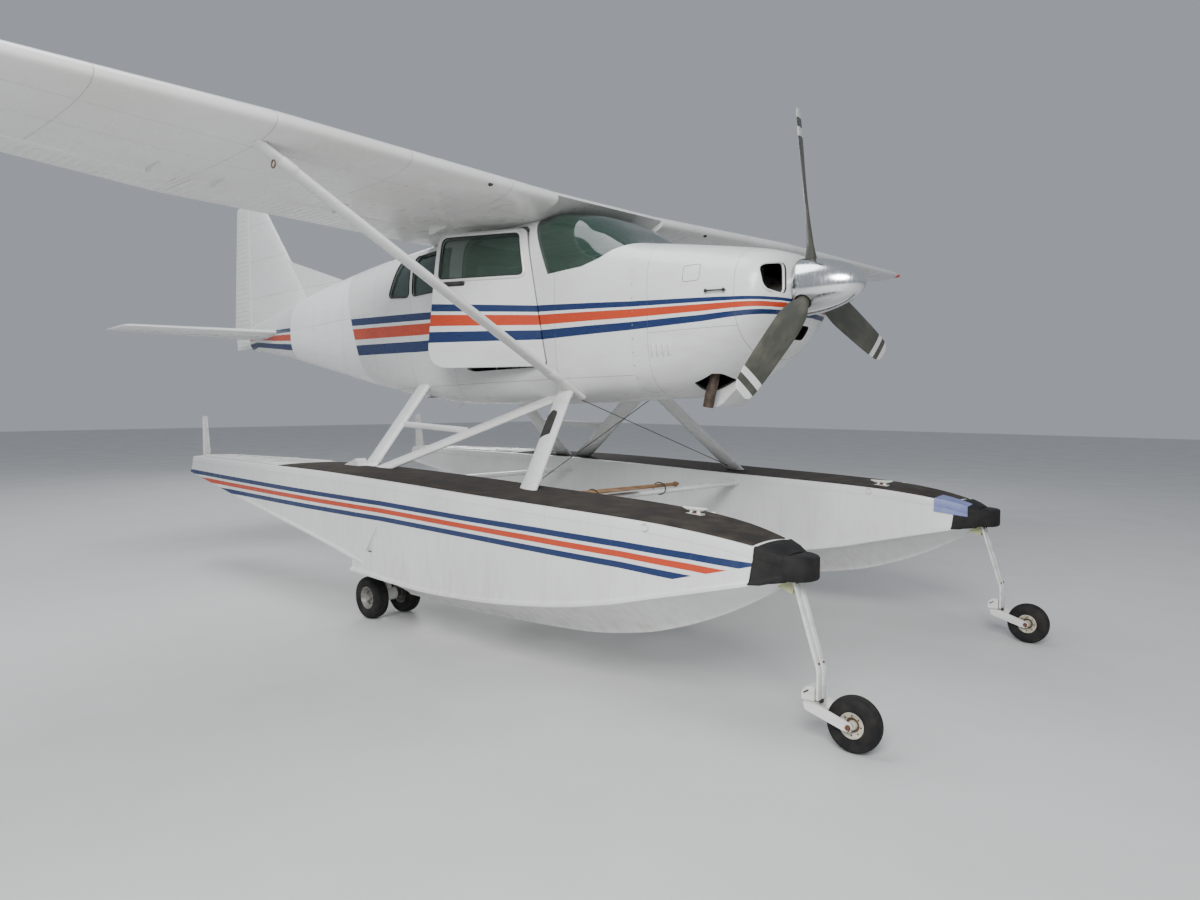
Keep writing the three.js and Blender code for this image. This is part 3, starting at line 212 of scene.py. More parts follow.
def full_turn(count):
    """Even angles round a circle."""
    return np.linspace(0, 2 * math.pi, count, endpoint=False)


def across(name, outline, y0, y1):
    """A side-view outline of x and z drawn out across the object."""
    return loft(name, [[(x, y, z) for x, z in outline] for y in sorted((y0, y1))])


def along_nose(name, outline, x0, x1):
    """A front-view outline of y and z drawn out along the nose."""
    return loft(name, [[(x, y, z) for y, z in outline] for x in (x0, x1)])


def round_ring(centre, over, up, radius, sides):
    """Points round a centre, in the plane of two directions."""
    return [centre + (over * math.cos(a) + up * math.sin(a)) * radius for a in full_turn(sides)]


def rod(name, start, end, radius, sides=24, end_radius=None):
    start, end = Vector(start), Vector(end)
    turn = Vector((0, 0, 1)).rotation_difference(end - start)
    over, up = turn @ Vector((1, 0, 0)), turn @ Vector((0, 1, 0))
    sizes = ((start, radius), (end, radius if end_radius is None else end_radius))
    return loft(name, [round_ring(centre, over, up, size, sides) for centre, size in sizes])


def pin(name, x, y0, y1, z, radius, sides=24):
    """A rod across the object."""
    return rod(name, (x, y0, z), (x, y1, z), radius, sides)


def tube(name, route, radius, sides=10, looped=False):
    """A round tube along a route; its radius is one number or one for each point."""
    route = [Vector(p) for p in route]
    radii = np.broadcast_to(radius, len(route))
    rings = []
    side = None
    for i, point in enumerate(route):
        ahead = route[(i + 1) % len(route)] if looped or i + 1 < len(route) else point
        behind = route[i - 1] if looped or i else point
        heading = (ahead - behind).normalized()
        if side is None:
            side = heading.orthogonal().normalized()
        side = (side - heading * side.dot(heading)).normalized()
        rings.append(round_ring(point, side, heading.cross(side), float(radii[i]), sides))
    return loft(name, rings, looped=looped)


def joined(name, *parts):
    """Several meshes as one object, each with its own materials."""
    parts = list(parts)
    if len(parts) > 1:
        with bpy.context.temp_override(active_object=parts[0], selected_editable_objects=parts):
            bpy.ops.object.join()
    parts[0].name = name
    return parts[0]


def node(tree, kind, props=None, **inputs):
    """A shader node with its properties and inputs set; a socket given as an input is linked."""
    made = tree.nodes.new("ShaderNode" + kind)
    for key, value in (props or {}).items():
        setattr(made, key, value)
    for key, value in inputs.items():
        socket = made.inputs[int(key[1:])] if key[0] == "i" and key[1:].isdigit() else made.inputs[key]
        if isinstance(value, bpy.types.NodeSocket):
            tree.links.new(value, socket)
        else:
            socket.default_value = value
    return made


def sums(tree, operation, *values):
    inputs = {f"i{k}": value for k, value in enumerate(values)}
    return node(tree, "Math", {"operation": operation}, **inputs).outputs[0]


def ramp(tree, factor, stops, interpolation="LINEAR"):
    made = node(tree, "ValToRGB", i0=factor)
    scale = made.color_ramp
    scale.interpolation = interpolation
    while len(scale.elements) < len(stops):
        scale.elements.new(0.5)
    for element, (place, colour) in zip(scale.elements, stops):
        element.position = place
        element.color = (*colour, 1) if isinstance(colour, tuple) else (colour, colour, colour, 1)
    return made.outputs[0]


def blended(tree, factor, first, second, way="MIX"):
    inputs = {"i6": first, "i7": second}
    inputs = {key: (*value, 1) if isinstance(value, tuple) else value for key, value in inputs.items()}
    return node(tree, "Mix", {"data_type": "RGBA", "blend_type": way}, i0=factor, **inputs).outputs[2]


def noise(tree, where, scale, detail=3.0, stretch=(1, 1, 1)):
    spread = node(tree, "Mapping", i0=where, i3=stretch).outputs[0]
    return node(tree, "TexNoise", Vector=spread, Scale=scale, Detail=detail).outputs[0]


def own_place(tree, attribute=None):
    if attribute:
        return node(tree, "Attribute", {"attribute_name": attribute}).outputs["Vector"]
    return node(tree, "TexCoord").outputs["Object"]


def new_material(name, colour, roughness, **sockets):
    made = bpy.data.materials.new(name)
    made.use_nodes = True
    made.diffuse_color = (*colour, 1)
    tree = made.node_tree
    shader = tree.nodes["Principled BSDF"]
    shader.inputs["Base Color"].default_value = (*colour, 1)
    shader.inputs["Roughness"].default_value = roughness
    for key, value in sockets.items():
        shader.inputs[key.replace("_", " ")].default_value = value
    return made, tree, shader


def wire_up(tree, shader, colour, gloss, height=None, strength=0.0, distance=0.0):
    """Joins a finish's colour, its roughness ramp's factor and stops, and its height to its shader."""
    wires = {"Base Color": colour, "Roughness": ramp(tree, *gloss)}
    if height is not None:
        bump = node(tree, "Bump", Strength=strength, Distance=distance, Height=height)
        wires["Normal"] = bump.outputs[0]
    for key, socket in wires.items():
        if socket is not None:
            tree.links.new(socket, shader.inputs[key])


def heights(tree, x, table, start, length):
    """A height read from a short table of x and z."""
    stops = [((px - start) / length, pz) for px, pz in sorted(table)]
    return ramp(tree, sums(tree, "DIVIDE", sums(tree, "SUBTRACT", x, start), length), stops)


# The stripes' shares of their band, from its lower edge up: navy, red, navy
STRIPE_SHARES = [(0.0, NAVY), (0.28, WHITE), (0.43, RED), (0.72, WHITE), (0.81, NAVY)]
BAND_TOP = [(-6.2, 0.862), (-5.28, 0.768), (-3.4, 0.709), (-2.2, 0.647), (-0.72, 0.565), (0.56, 0.492),
            (0.93, 0.470)]
BAND_FOOT = [(-6.2, 0.600), (-5.85, 0.627), (-3.4, 0.375), (-2.2, 0.333), (-0.72, 0.328), (0.56, 0.349),
             (0.93, 0.372)]


def striped_band(tree, x, z, tables, start, length, shares):
    """A height's share of a band along the object, and the colours of the band's stripes."""
    foot, top = (heights(tree, x, table, start, length) for table in tables)
    share = sums(tree, "DIVIDE", sums(tree, "SUBTRACT", z, foot), sums(tree, "SUBTRACT", top, foot))
    stops = [(0, WHITE)] + [(0.1 + 0.8 * place, tint) for place, tint in shares] + [(0.9, WHITE)]
    return share, ramp(tree, sums(tree, "MULTIPLY_ADD", share, 0.8, 0.1), stops, "CONSTANT")


def striped(tree, where, colour):
    """White paint with the navy, red and navy band drawn by stations along the fuselage."""
    x, _, z = node(tree, "SeparateXYZ", i0=where).outputs
    _, band = striped_band(tree, x, z, (BAND_FOOT, BAND_TOP), -6.2, 7.2, STRIPE_SHARES)
    paint = blended(tree, 1.0, band, colour, "MULTIPLY")
    # The area aft of the cabin is left bare, up to a slanting edge
    edge = sums(tree, "MULTIPLY_ADD", z, -0.35, -3.17)
    bare = sums(tree, "MULTIPLY", sums(tree, "LESS_THAN", x, edge), sums(tree, "GREATER_THAN", x, -4.82))
    return blended(tree, bare, paint, colour)


def seam_lines(tree, where, lines, width=0.0014):
    """1 on panel seams. Each line is an axis, its place, then the other axis and its span."""
    split = node(tree, "SeparateXYZ", i0=where)
    total = None
    for axis, place, other, low, high in lines:
        on = sums(tree, "COMPARE", split.outputs["XYZ".index(axis)], place, width)
        near = sums(tree, "COMPARE", split.outputs["XYZ".index(other)], (low + high) / 2, (high - low) / 2)
        line = sums(tree, "MULTIPLY", on, near)
        total = line if total is None else sums(tree, "MAXIMUM", total, line)
    return total


DRAWN_IN = {}


def white_paint(name, attribute=None, stripes=False, seams=(), grime=0.35, warm=0.0):
    """Gloss enamel that has dulled a little, with streaks of grime and dark lines along its seams."""
    made, tree, shader = new_material(name, WHITE, 0.3, Coat_Weight=0.25, Coat_Roughness=0.12)
    if attribute:
        DRAWN_IN[name] = attribute
    where = own_place(tree, attribute)
    broad = noise(tree, where, 1.7, 4.0)
    streaks = noise(tree, where, 9.0, 5.0, (0.5, 1, 2.2))
    stops = [(0.3, (0.93 - warm * 0.3, 0.93 - warm * 0.5, 0.92 - warm)), (0.7, (1.0, 1.0, 0.99))]
    soiled = ramp(tree, streaks, [(0.44, 0.0), (0.78, grime)])
    tone = blended(tree, soiled, ramp(tree, broad, stops), (0.70, 0.67, 0.60))
    paint = striped(tree, where, tone) if stripes else blended(tree, 1.0, WHITE, tone, "MULTIPLY")
    height = sums(tree, "MULTIPLY", noise(tree, where, 5.0, 2.0), 0.6)
    if seams:
        lines = seam_lines(tree, where, seams)
        paint = blended(tree, sums(tree, "MULTIPLY", lines, 0.75), paint, (0.10, 0.10, 0.10))
        height = sums(tree, "SUBTRACT", height, lines)
    wire_up(tree, shader, paint, (streaks, [(0.35, 0.24), (0.8, 0.46)]), height, 0.12, 0.004)
    return made


def worn(name, colour, roughness, tint, scale=14.0, bump=0.15, distance=0.001, **sockets):
    """A plain finish whose colour and gloss vary a little, and whose surface is not quite even."""
    made, tree, shader = new_material(name, colour, roughness, **sockets)
    where = own_place(tree)
    patches = noise(tree, where, scale, 5.0)
    tone = blended(tree, ramp(tree, patches, [(0.38, 0.0), (0.7, 1.0)]), colour, tint)
    gloss = [(0.3, max(0.02, roughness - 0.1)), (0.75, min(1.0, roughness + 0.14))]
    wire_up(tree, shader, tone, (patches, gloss), noise(tree, where, scale * 9, 3.0), bump, distance)
    return made


def keep_drawn(made, attribute, y0=0.0, side=1):
    """Keeps where a shape was drawn as an attribute, which its pattern follows."""
    drawn = np.zeros((len(made.data.vertices), 3), np.float32)
    made.data.vertices.foreach_get("co", drawn.ravel())
    drawn[:, 1] = side * (drawn[:, 1] - y0)
    made.data.attributes.new(attribute, "FLOAT_VECTOR", "POINT").data.foreach_set("vector", drawn.ravel())


def lined(made, material):
    made.data.materials.clear()
    made.data.materials.append(material)
    return made


def fitted(made, material, slot, *nodes, body="airframe", matrix=AIRFRAME, angle=32):
    """Finishes a piece: material, place, smooth faces, body and the nodes it stands for. Its slot is not
    used.
    """
    if material is not None:
        lined(made, material)
    for attribute in {DRAWN_IN[own.name] for own in made.data.materials if own.name in DRAWN_IN}:
        keep_drawn(made, attribute)
    made.data.transform(matrix)
    made.data.shade_smooth()
    made.data.set_sharp_from_angle(angle=math.radians(angle))
    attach(made, body)
    if nodes:
        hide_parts(*nodes)
    return made


COWL_SEAMS = [("X", 0.78, "Z", -0.2, 1.0), ("X", 0.145, "Z", -0.2, 1.0), ("Z", 0.31, "X", 0.145, 0.78)]
cowl_paint = white_paint("cowl_paint", "station", stripes=True, seams=COWL_SEAMS, grime=0.3)
# Near-black painted shade for the cowling's inside faces and the louvre slits; also the dark seam line of the
# oil door
shade_and_seam_dark = worn("shade_and_seam_dark", (0.030, 0.028, 0.026), 0.8, (0.06, 0.05, 0.04))


def fuselage_body(name, front, back, inset=0.0, pitch=0.04):
    steps = max(2, int(round((front - back) / pitch)) + 1)
    return loft(name, [fuselage_ring(x, inset) for x in np.linspace(front, back, steps)])



cowl_rings = [fuselage_ring(x) for x in np.linspace(0.0003, COWL_FRONT, 44)]
bowl_centre = cowl_rings[-1][:, 1:].mean(0)
for share, ahead in ((0.93, 0.012), (0.8, 0.019), (0.5, 0.022), (0.2, 0.0225)):
    ring = cowl_rings[43].copy()
    ring[:, 0] += ahead
    ring[:, 1:] = bowl_centre + (ring[:, 1:] - bowl_centre) * share
    cowl_rings.append(ring)
cowling = lined(loft("cowling_skin", cowl_rings), cowl_paint)
carve(cowling, lined(across("outlet", OUTLET_SIDE, -0.13, 0.13), cowl_paint), operation="UNION")
cutters = [fuselage_body("cowl_inside", COWL_FRONT - COWL_WALL, -0.01, COWL_WALL)]
lips = []
for side in (1, -1):
    inner, outer, low, high, slope, radius = INTAKE.values()
    corners = [(inner, low), (inner, high), (outer, high - slope), (outer, low + slope)]
    outline = rounded([(side * y, z, radius) for y, z in corners])
    cutters.append(along_nose("intake", outline, 0.69, 1.02))
    lips.append(tube(f"intake_lip_{side}", [(skin_x(y, z), y, z) for y, z in outline], 0.008, looped=True))
chin = rounded_box(-CHIN["half"], CHIN["half"], CHIN["low"], CHIN["high"], 0.03)
cutters.append(along_nose("chin", chin, 0.8, 1.02))
cutters.append(rod("shaft_hole", (0.9, 0, SHAFT_Z), (1.0, 0, SHAFT_Z), 0.075))
cutters.append(across("exhaust_window", rounded_box(0.39, 0.585, -0.2, 0.04, 0.035), -0.33, -0.14))
# The faces cut inside the cowling take the near-black: painted shade
for cutter in cutters:
    lined(cutter, shade_and_seam_dark)
carve(cowling, *cutters)
fitted(cowling, None, "white_paint", "cowling")
for lip in lips:
    fitted(lip, cowl_paint, "white_paint")

# Cabin shell: aluminium skins over frames, 35 mm deep with its trim, cut for the doors, the
# windows and the wrap-round windscreen. The wings meet over its roof. The inside is lined, the
# outside is painted with the stripes.
CABIN_REAR = -3.0
CABIN_WALL = 0.035
# Columns: corner x, corner z, corner radius, seen from the side
DOOR = [(-0.704, 0.143, 0.05), (-0.894, 1.142, 0.07), (-1.600, 1.142, 0.07), (-1.664, 0.143, 0.19)]
DOOR_WINDOW = [(-0.895, 0.792, 0.045), (-0.950, 1.102, 0.045), (-1.562, 1.102, 0.045), (-1.582, 0.792, 0.045)]
REAR_WINDOWS = [
    [(-1.790, 0.792, 0.045), (-1.770, 1.118, 0.045), (-2.308, 1.118, 0.045), (-2.318, 0.792, 0.045)],
    [(-2.368, 0.790, 0.06), (-2.356, 1.124, 0.06), (-2.560, 1.124, 0.06), (-2.715, 0.822, 0.06)],
]
REAR_GLASS = [(-1.768, 0.770, 0.02), (-1.748, 1.140, 0.02), (-2.600, 1.140, 0.02), (-2.740, 0.770, 0.02)]
SCREEN = [(-0.686, 0.772), (-0.846, 1.178), (-0.560, 1.290), (0.060, 1.290), (0.060, 0.930), (-0.020, 0.924),
          (-0.075, 0.912), (-0.163, 0.884), (-0.261, 0.832), (-0.390, 0.792)]
FLOOR_Z = -0.04
REAR_FLOOR = {"x": -1.79, "z": 0.04}
CABIN_SEAMS = [("X", -0.62, "Z", -0.2, 0.78), ("X", -1.735, "Z", -0.2, 0.8), ("X", -2.345, "Z", -0.2, 1.3),
               ("Z", 0.05, "X", -3.0, 0.0), ("X", -2.98, "Z", -0.2, 1.3)]
cabin_paint = white_paint("cabin_paint", "station", stripes=True, seams=CABIN_SEAMS, grime=0.22)
lining = worn("cabin_lining", (0.20, 0.215, 0.20), 0.75, (0.13, 0.14, 0.13), 10.0)
carpet = worn("cabin_carpet", (0.045, 0.045, 0.05), 0.95, (0.09, 0.08, 0.07), 40.0, 0.6, 0.004)


def grown(corners, by):
    centre = np.mean([c[:2] for c in corners], axis=0)
    return [(x + by * np.sign(x - centre[0]), z + by * np.sign(z - centre[1]), radius + by)
            for x, z, radius in corners]


def side_prism(name, corners, side, grow=0.0, reach=(0.25, 0.70)):
    return across(name, rounded(grown(corners, grow)), side * reach[0], side * reach[1])


wall = lined(fuselage_body("wall", 0, CABIN_REAR), cabin_paint)
carve(wall, lined(fuselage_body("wall_inside", -CABIN_WALL, CABIN_REAR + CABIN_WALL, CABIN_WALL), lining))
door_wall = copy_of(wall, "door_wall")
screen_cut = lined(across("screen_cut", SCREEN, -0.8, 0.8), cabin_paint)
cabin_cutters = [screen_cut]
for side in (1, -1):
    for k, corners in enumerate([grown(DOOR, 0.003), *REAR_WINDOWS]):
        cabin_cutters.append(lined(side_prism(f"opening_{side}_{k}", corners, side), cabin_paint))
cabin = carve(wall, *cabin_cutters)
cabin.name = "cabin_skin"
fitted(cabin, None, "white_paint", "cabin_shell")


def floor_piece(name, x0, x1, top):
    """A floor panel whose edges follow the cabin's sides."""
    stations = np.linspace(x0, x1, 24)
    rings = []
    for z in (top - 0.012, top):
        left = [(x, skin_y(x, z) - CABIN_WALL - 0.004, z) for x in stations]
        rings.append(left + [(x, -y, z) for x, y, z in reversed(left)])
    return loft(name, rings)


front_floor = floor_piece("front_floor", REAR_FLOOR["x"], -0.01, FLOOR_Z)
rear_floor = floor_piece("rear_floor", CABIN_REAR + 0.02, REAR_FLOOR["x"], REAR_FLOOR["z"])
for panel in (front_floor, rear_floor):
    fitted(panel, carpet, "cabin_trim")
firewall_ring = fuselage_ring(-0.012, 0.02)
firewall = loft("firewall", [firewall_ring, firewall_ring + (-0.006, 0, 0)])
fitted(firewall, lining, "cabin_trim")

# Doors: one on each side, hinged on their slanting front edges, with an inner panel, a rubber
# seal round the window and a dark bar handle. The starboard door stands ajar as in the photo.
HINGE_FOOT = (-0.704, 0.572, 0.143)
HINGE_HEAD = (-0.894, 0.572, 1.142)
DOOR_AJAR = {"left": 0.0, "right": 23.0}
SILL_GAP = 0.003
door_paint = white_paint("door_paint", "station", stripes=True, grime=0.28)
black_rubber = worn("black_rubber", (0.016, 0.016, 0.017), 0.7, (0.05, 0.047, 0.042))
dark_metal = worn("dark_metal", (0.045, 0.045, 0.05), 0.4, (0.12, 0.11, 0.10), Metallic=0.6)
bright_metal = worn("bright_metal", (0.52, 0.53, 0.54), 0.32, (0.36, 0.35, 0.33), Metallic=1.0)


def swung(side, name):
    """The turn that takes a door from shut to as it stands, in stations."""
    foot = Vector((HINGE_FOOT[0], side * HINGE_FOOT[1], HINGE_FOOT[2]))
    head = Vector((HINGE_HEAD[0], side * HINGE_HEAD[1], HINGE_HEAD[2]))
    turn = Matrix.Rotation(-side * math.radians(DOOR_AJAR[name]), 4, (head - foot).normalized())
    return Matrix.Translation(foot) @ turn @ Matrix.Translation(-foot)


def on_side(outline, side, out=0.0):
    """A side-view outline laid on the fuselage's skin."""
    return [(x, side * skin_y(x, z, out), z) for x, z in outline]


def densely(points, pitch=0.02):
    """More points along the straights of a closed outline."""
    count = len(points)
    filled = []
    for k in range(count):
        a, b = np.array(points[k], float), np.array(points[(k + 1) % count], float)
        parts = max(1, int(np.linalg.norm(b - a) / pitch))
        filled += [a + (b - a) * t for t in np.linspace(0, 1, parts, endpoint=False)]
    return filled


def seal(name, corners, side, radius, out=0.0, grow=0.0):
    """A rubber seal round an opening, following the skin."""
    outline = densely(rounded(grown(corners, grow)))
    return tube(name, on_side(outline, side, out), radius, 8, looped=True)


HANDLE_XS = (-1.53, -1.36)
HANDLE_Z = 0.755
ARM_REST = [(-1.0, 0.42, 0.03), (-1.0, 0.48, 0.03), (-1.45, 0.52, 0.03), (-1.45, 0.42, 0.03)]
doors = {}
for name, side in SIDES:
    turn = AIRFRAME @ swung(side, name)
    doors[name] = {"matrix": turn, "body": f"door_{name}"}
    door = copy_of(door_wall, f"door_skin_{name}")
    carve(door, lined(side_prism("door_zone", DOOR, side, -SILL_GAP), cabin_paint), operation="INTERSECT")
    carve(door, lined(side_prism("door_opening", DOOR_WINDOW, side), cabin_paint))
    for k, slot_material in enumerate(door.data.materials):
        if slot_material is cabin_paint:
            door.data.materials[k] = door_paint
    fitted(door, None, "white_paint", f"door_{name}", **doors[name])
    frame_lip = seal(f"door_window_frame_{name}", DOOR_WINDOW, side, 0.011, 0.002, 0.012)
    fitted(frame_lip, door_paint, "white_paint", **doors[name])
    rubber = seal(f"door_window_seal_{name}", DOOR_WINDOW, side, 0.0055, 0.0005, -0.002)
    fitted(rubber, black_rubber, "bumper_rubber", **doors[name])
    back, front = HANDLE_XS
    spots = [(x, side * skin_y(x, HANDLE_Z, 0.010), HANDLE_Z) for x in np.linspace(front, back, 12)]
    grip = tube(f"door_handle_{name}", spots, 0.0085, 12)
    recess = rounded_box(back - 0.005, front - 0.005, HANDLE_Z - 0.013, HANDLE_Z + 0.013, 0.012, 4)
    plate = tube("plate", densely(on_side(recess, side, 0.001), 0.01), 0.006, 6, looped=True)
    fitted(joined(grip.name, grip, plate), dark_metal, "cabin_trim", **doors[name])
    arm_rest = across(f"arm_rest_{name}", rounded(ARM_REST), side * 0.475, side * 0.528)
    fitted(arm_rest, lining, "cabin_trim", **doors[name])
    gap_line = seal(f"door_surround_{name}", DOOR, side, 0.0035, -0.004, 0.005)
    fitted(gap_line, black_rubber, "bumper_rubber")
bpy.data.objects.remove(door_wall)

# Windows: tinted acrylic, pressed into rubber seals. The windscreen is one sheet that wraps
# from door post to door post under the wing roots.
glass, glass_tree, glass_shader = new_material("window_glass", (0.032, 0.068, 0.050), 0.04, Alpha=0.56,
                                               Coat_Weight=1.0, Coat_Roughness=0.02, IOR=1.49)
smears = noise(glass_tree, own_place(glass_tree), 7.0, 4.0)
wire_up(glass_tree, glass_shader, None, (smears, [(0.4, 0.03), (0.8, 0.12)]))
SHEET_DEEP = (0.014, 0.018)


def sheet(name, zone, front=0.0, rear=CABIN_REAR, deep=SHEET_DEEP, pitch=0.05):
    """A thin sheet just inside the skin, trimmed to a zone."""
    made = fuselage_body(name, front, rear, deep[0], pitch)
    carve(made, fuselage_body("sheet_inside", front + 0.01, rear - 0.01, deep[1], pitch))
    return carve(made, zone, operation="INTERSECT")


for name, side in SIDES:
    pane = sheet(f"door_pane_{name}", side_prism("pane_zone", DOOR_WINDOW, side, 0.004), -0.8, -1.7)
    fitted(pane, glass, "window_glass", f"door_glass_{name}", **doors[name])
    strip = sheet(f"side_pane_{name}", side_prism("strip_zone", REAR_GLASS, side, -0.001), -1.7, -2.8)
    fitted(strip, glass, "window_glass", f"side_glass_{name}")
    for k, corners in enumerate(REAR_WINDOWS):
        rubber = seal(f"window_seal_{name}_{k}", corners, side, 0.006, 0.0005, -0.002)
        fitted(rubber, black_rubber, "bumper_rubber")
screen_zone = [(-0.40 + (x + 0.40) * 0.997, 1.0 + (z - 1.0) * 0.997) for x, z in SCREEN]
screen = sheet("screen_pane", across("screen_zone", screen_zone, -0.8, 0.8), 0.0, -0.95, (0.004, 0.0075),
               0.02)
fitted(screen, glass, "window_glass", "windshield")

# Wings: two strut-braced wings on a centre section over the cabin, skinned in riveted sheet.
# Flaps and ailerons have beaded skins, and hang on their hinge lines at the back. All are white.
WING_ROOT_Y = 0.567
WING_ROOT_Z = 1.272
DIHEDRAL = math.radians(1.73)
# Columns: y, leading edge x, chord, incidence in degrees
WING = [(WING_ROOT_Y, -0.556, 1.626, 2.5), (2.54, -0.556, 1.626, 2.5), (5.24, -0.770, 1.150, 0.0)]
WING_TIP = {"y": 5.46, "lead": -0.855, "chord": 0.90}
FLAP = {"from": 0.640, "to": 2.540, "hinge": 0.72}
AILERON = {"from": 2.600, "to": 5.130, "hinge": 0.76}
RUN_GAP = 0.008
BEAD = {"pitch": 0.052, "height": 0.0035}
FACE_STEPS = 26
WING_SEAMS = [("Y", y, "X", -3.0, 0.0) for y in (0.98, 1.75, 2.57, 3.4, 4.2, 5.2)]
WING_SEAMS += [("Y", -line[1], *line[2:]) for line in WING_SEAMS]
WING_SEAMS += [("X", x, "Y", -5.2, 5.2) for x in (-0.86, -1.24)]
wing_paint = white_paint("wing_paint", "station", seams=WING_SEAMS, grime=0.08, warm=0.05)
surface_paint = white_paint("control_surface_paint", "station", grime=0.12, warm=0.06)


def thickness(u):
    return 0.6 * (0.2969 * np.sqrt(u) - 0.126 * u - 0.3516 * u**2 + 0.2843 * u**3 - 0.1015 * u**4)


def camber(u):
    return np.where(u < 0.4, 0.125 * (0.8 * u - u**2), 0.0556 * (0.2 + 0.8 * u - u**2))


def faces_of(share, chord, thick, bent, count=400):
    """The upper and the lower face of a section as points aft and up, from the leading edge."""
    u = (1 - np.cos(np.linspace(0, np.pi, count))) / 2
    half = thickness(u) * share + thick / chord
    middle = camber(u) * bent
    return [np.stack([u, middle + way * half], 1) * chord for way in (1, -1)]


def thinned(line, count):
    """Fewer points on a face, closest together at the leading edge."""
    where = (1 - np.cos(np.linspace(0, np.pi / 2, count))) * (len(line) - 1)
    return np.stack([np.interp(where, np.arange(len(line)), line[:, k]) for k in (0, 1)], 1)


def arc(centre, radius, start, end, count):
    """Points round a hinge line from one point to another, by way of its forward side."""
    first = math.atan2(start[1] - centre[1], start[0] - centre[0]) % (2 * math.pi)
    last = math.atan2(end[1] - centre[1], end[0] - centre[0]) % (2 * math.pi)
    turn = np.linspace(first, last, count + 2)[1:-1]
    return np.stack([centre[0] + radius * np.cos(turn), centre[1] + radius * np.sin(turn)], 1)


def hinge_of(faces, share):
    """The hinge's place in a section, and the section's half thickness there."""
    upper, lower = (face[np.argmin(abs(face[:, 0] - share * face[-1, 0]))] for face in faces)
    return (upper + lower) / 2, (upper - lower)[1] / 2


def whole_ring(faces):
    upper, lower = (thinned(face, FACE_STEPS) for face in faces)
    return np.vstack([upper[::-1], lower[1:]])


def fixed_ring(faces, share):
    """The section ahead of a hinge, hollowed to clear the surface behind it."""
    centre, radius = hinge_of(faces, share)
    kept = []
    for face in faces:
        inside = np.linalg.norm(face - centre, axis=1) < radius + RUN_GAP
        kept.append(thinned(face[:np.argmax(inside)], FACE_STEPS))
    cove = arc(centre, radius + RUN_GAP, kept[1][-1], kept[0][-1], 9)
    return np.vstack([kept[0][::-1], kept[1][1:], cove])


def moving_ring(faces, share, lift=0.0):
    """The section behind a hinge, with a round nose and its faces lifted by a bead."""
    centre, radius = hinge_of(faces, share)
    sides = []
    for face, way in zip(faces, (1, -1)):
        behind = face[face[:, 0] > centre[0]]
        place = np.linspace(0, len(behind) - 1, 15)
        points = np.stack([np.interp(place, np.arange(len(behind)), behind[:, k]) for k in (0, 1)], 1)
        points[2:-2, 1] += way * lift
        sides.append(points)
    nose = arc(centre, radius, sides[0][0], sides[1][0], 9)
    return np.vstack([sides[0][::-1], nose, sides[1]])


def wing_row(y):
    rows = np.array(WING)
    row = [float(np.interp(y, rows[:, 0], rows[:, k])) for k in range(1, 4)]
    share = 1.0
    if y > WING[-1][0]:
        t = (y - WING[-1][0]) / (WING_TIP["y"] - WING[-1][0])
        share = math.sqrt(max(0.004, 1 - t**2))
        row[0] += (WING_TIP["lead"] - row[0]) * (1 - share)
        row[1] += (WING_TIP["chord"] - row[1]) * (1 - share)
    return (*row, share)


def wing_ring(y, make, side):
    """A wing section's ring in stations, made by one of the ring functions."""
    lead, chord, tilt, share = wing_row(y)
    c, s = math.cos(math.radians(tilt)), math.sin(math.radians(tilt))
    z = WING_ROOT_Z + math.tan(DIHEDRAL) * max(0.0, y - WING_ROOT_Y)
    points = make(faces_of(share, chord, 0.0008, share))
    return [(lead - (p * c + n * s), side * y, z + n * c - p * s) for p, n in points]


def bead_lift(y):
    return BEAD["height"] * max(0.0, math.cos(2 * math.pi * y / BEAD["pitch"])) ** 2


def control_surface(name, side, table, edge=0.005):
    spans = np.arange(table["from"] + edge, table["to"] - edge, BEAD["pitch"] / 6)
    return loft(name, [wing_ring(y, lambda faces, y=y: moving_ring(faces, table["hinge"], bead_lift(y)), side)
                       for y in spans])


tip_spans = [WING[-1][0] + (WING_TIP["y"] - WING[-1][0]) * math.sin(t)
             for t in np.linspace(0, math.pi / 2, 12)]
BAYS = ((WING_ROOT_Y, FLAP["from"], None), (FLAP["from"], FLAP["to"], FLAP["hinge"]),
        (FLAP["to"], AILERON["from"], None), (AILERON["from"], AILERON["to"], AILERON["hinge"]))
for name, side in SIDES:
    bays = []
    for low, high, hinge in BAYS:
        make = (lambda faces, hinge=hinge: fixed_ring(faces, hinge)) if hinge else whole_ring
        spans = np.linspace(low, high, max(2, int((high - low) / 0.2)))
        bays.append(loft("bay", [wing_ring(y, make, side) for y in spans]))
    bays.append(loft("tip", [wing_ring(y, whole_ring, side) for y in [AILERON["to"], *tip_spans]]))
    fitted(joined(f"wing_skin_{name}", *bays), wing_paint, "white_paint", f"wing_{name}", angle=40)
    for table, part in ((FLAP, f"flap_{name}"), (AILERON, f"aileron_{name}")):
        surface = control_surface(part.replace("_", "_skin_"), side, table)
        fitted(surface, surface_paint, "white_paint", part, body=part, angle=40)
roof = loft("roof_skin", [wing_ring(WING_ROOT_Y, whole_ring, 1) for _ in range(2)])
for vertex in roof.data.vertices:
    vertex.co.y = (WING_ROOT_Y - 0.0003) * (1 if vertex.index >= len(roof.data.vertices) // 2 else -1)
carve(roof, across("roof_cut", SCREEN, -0.8, 0.8))
fitted(roof, wing_paint, "white_paint", angle=40)

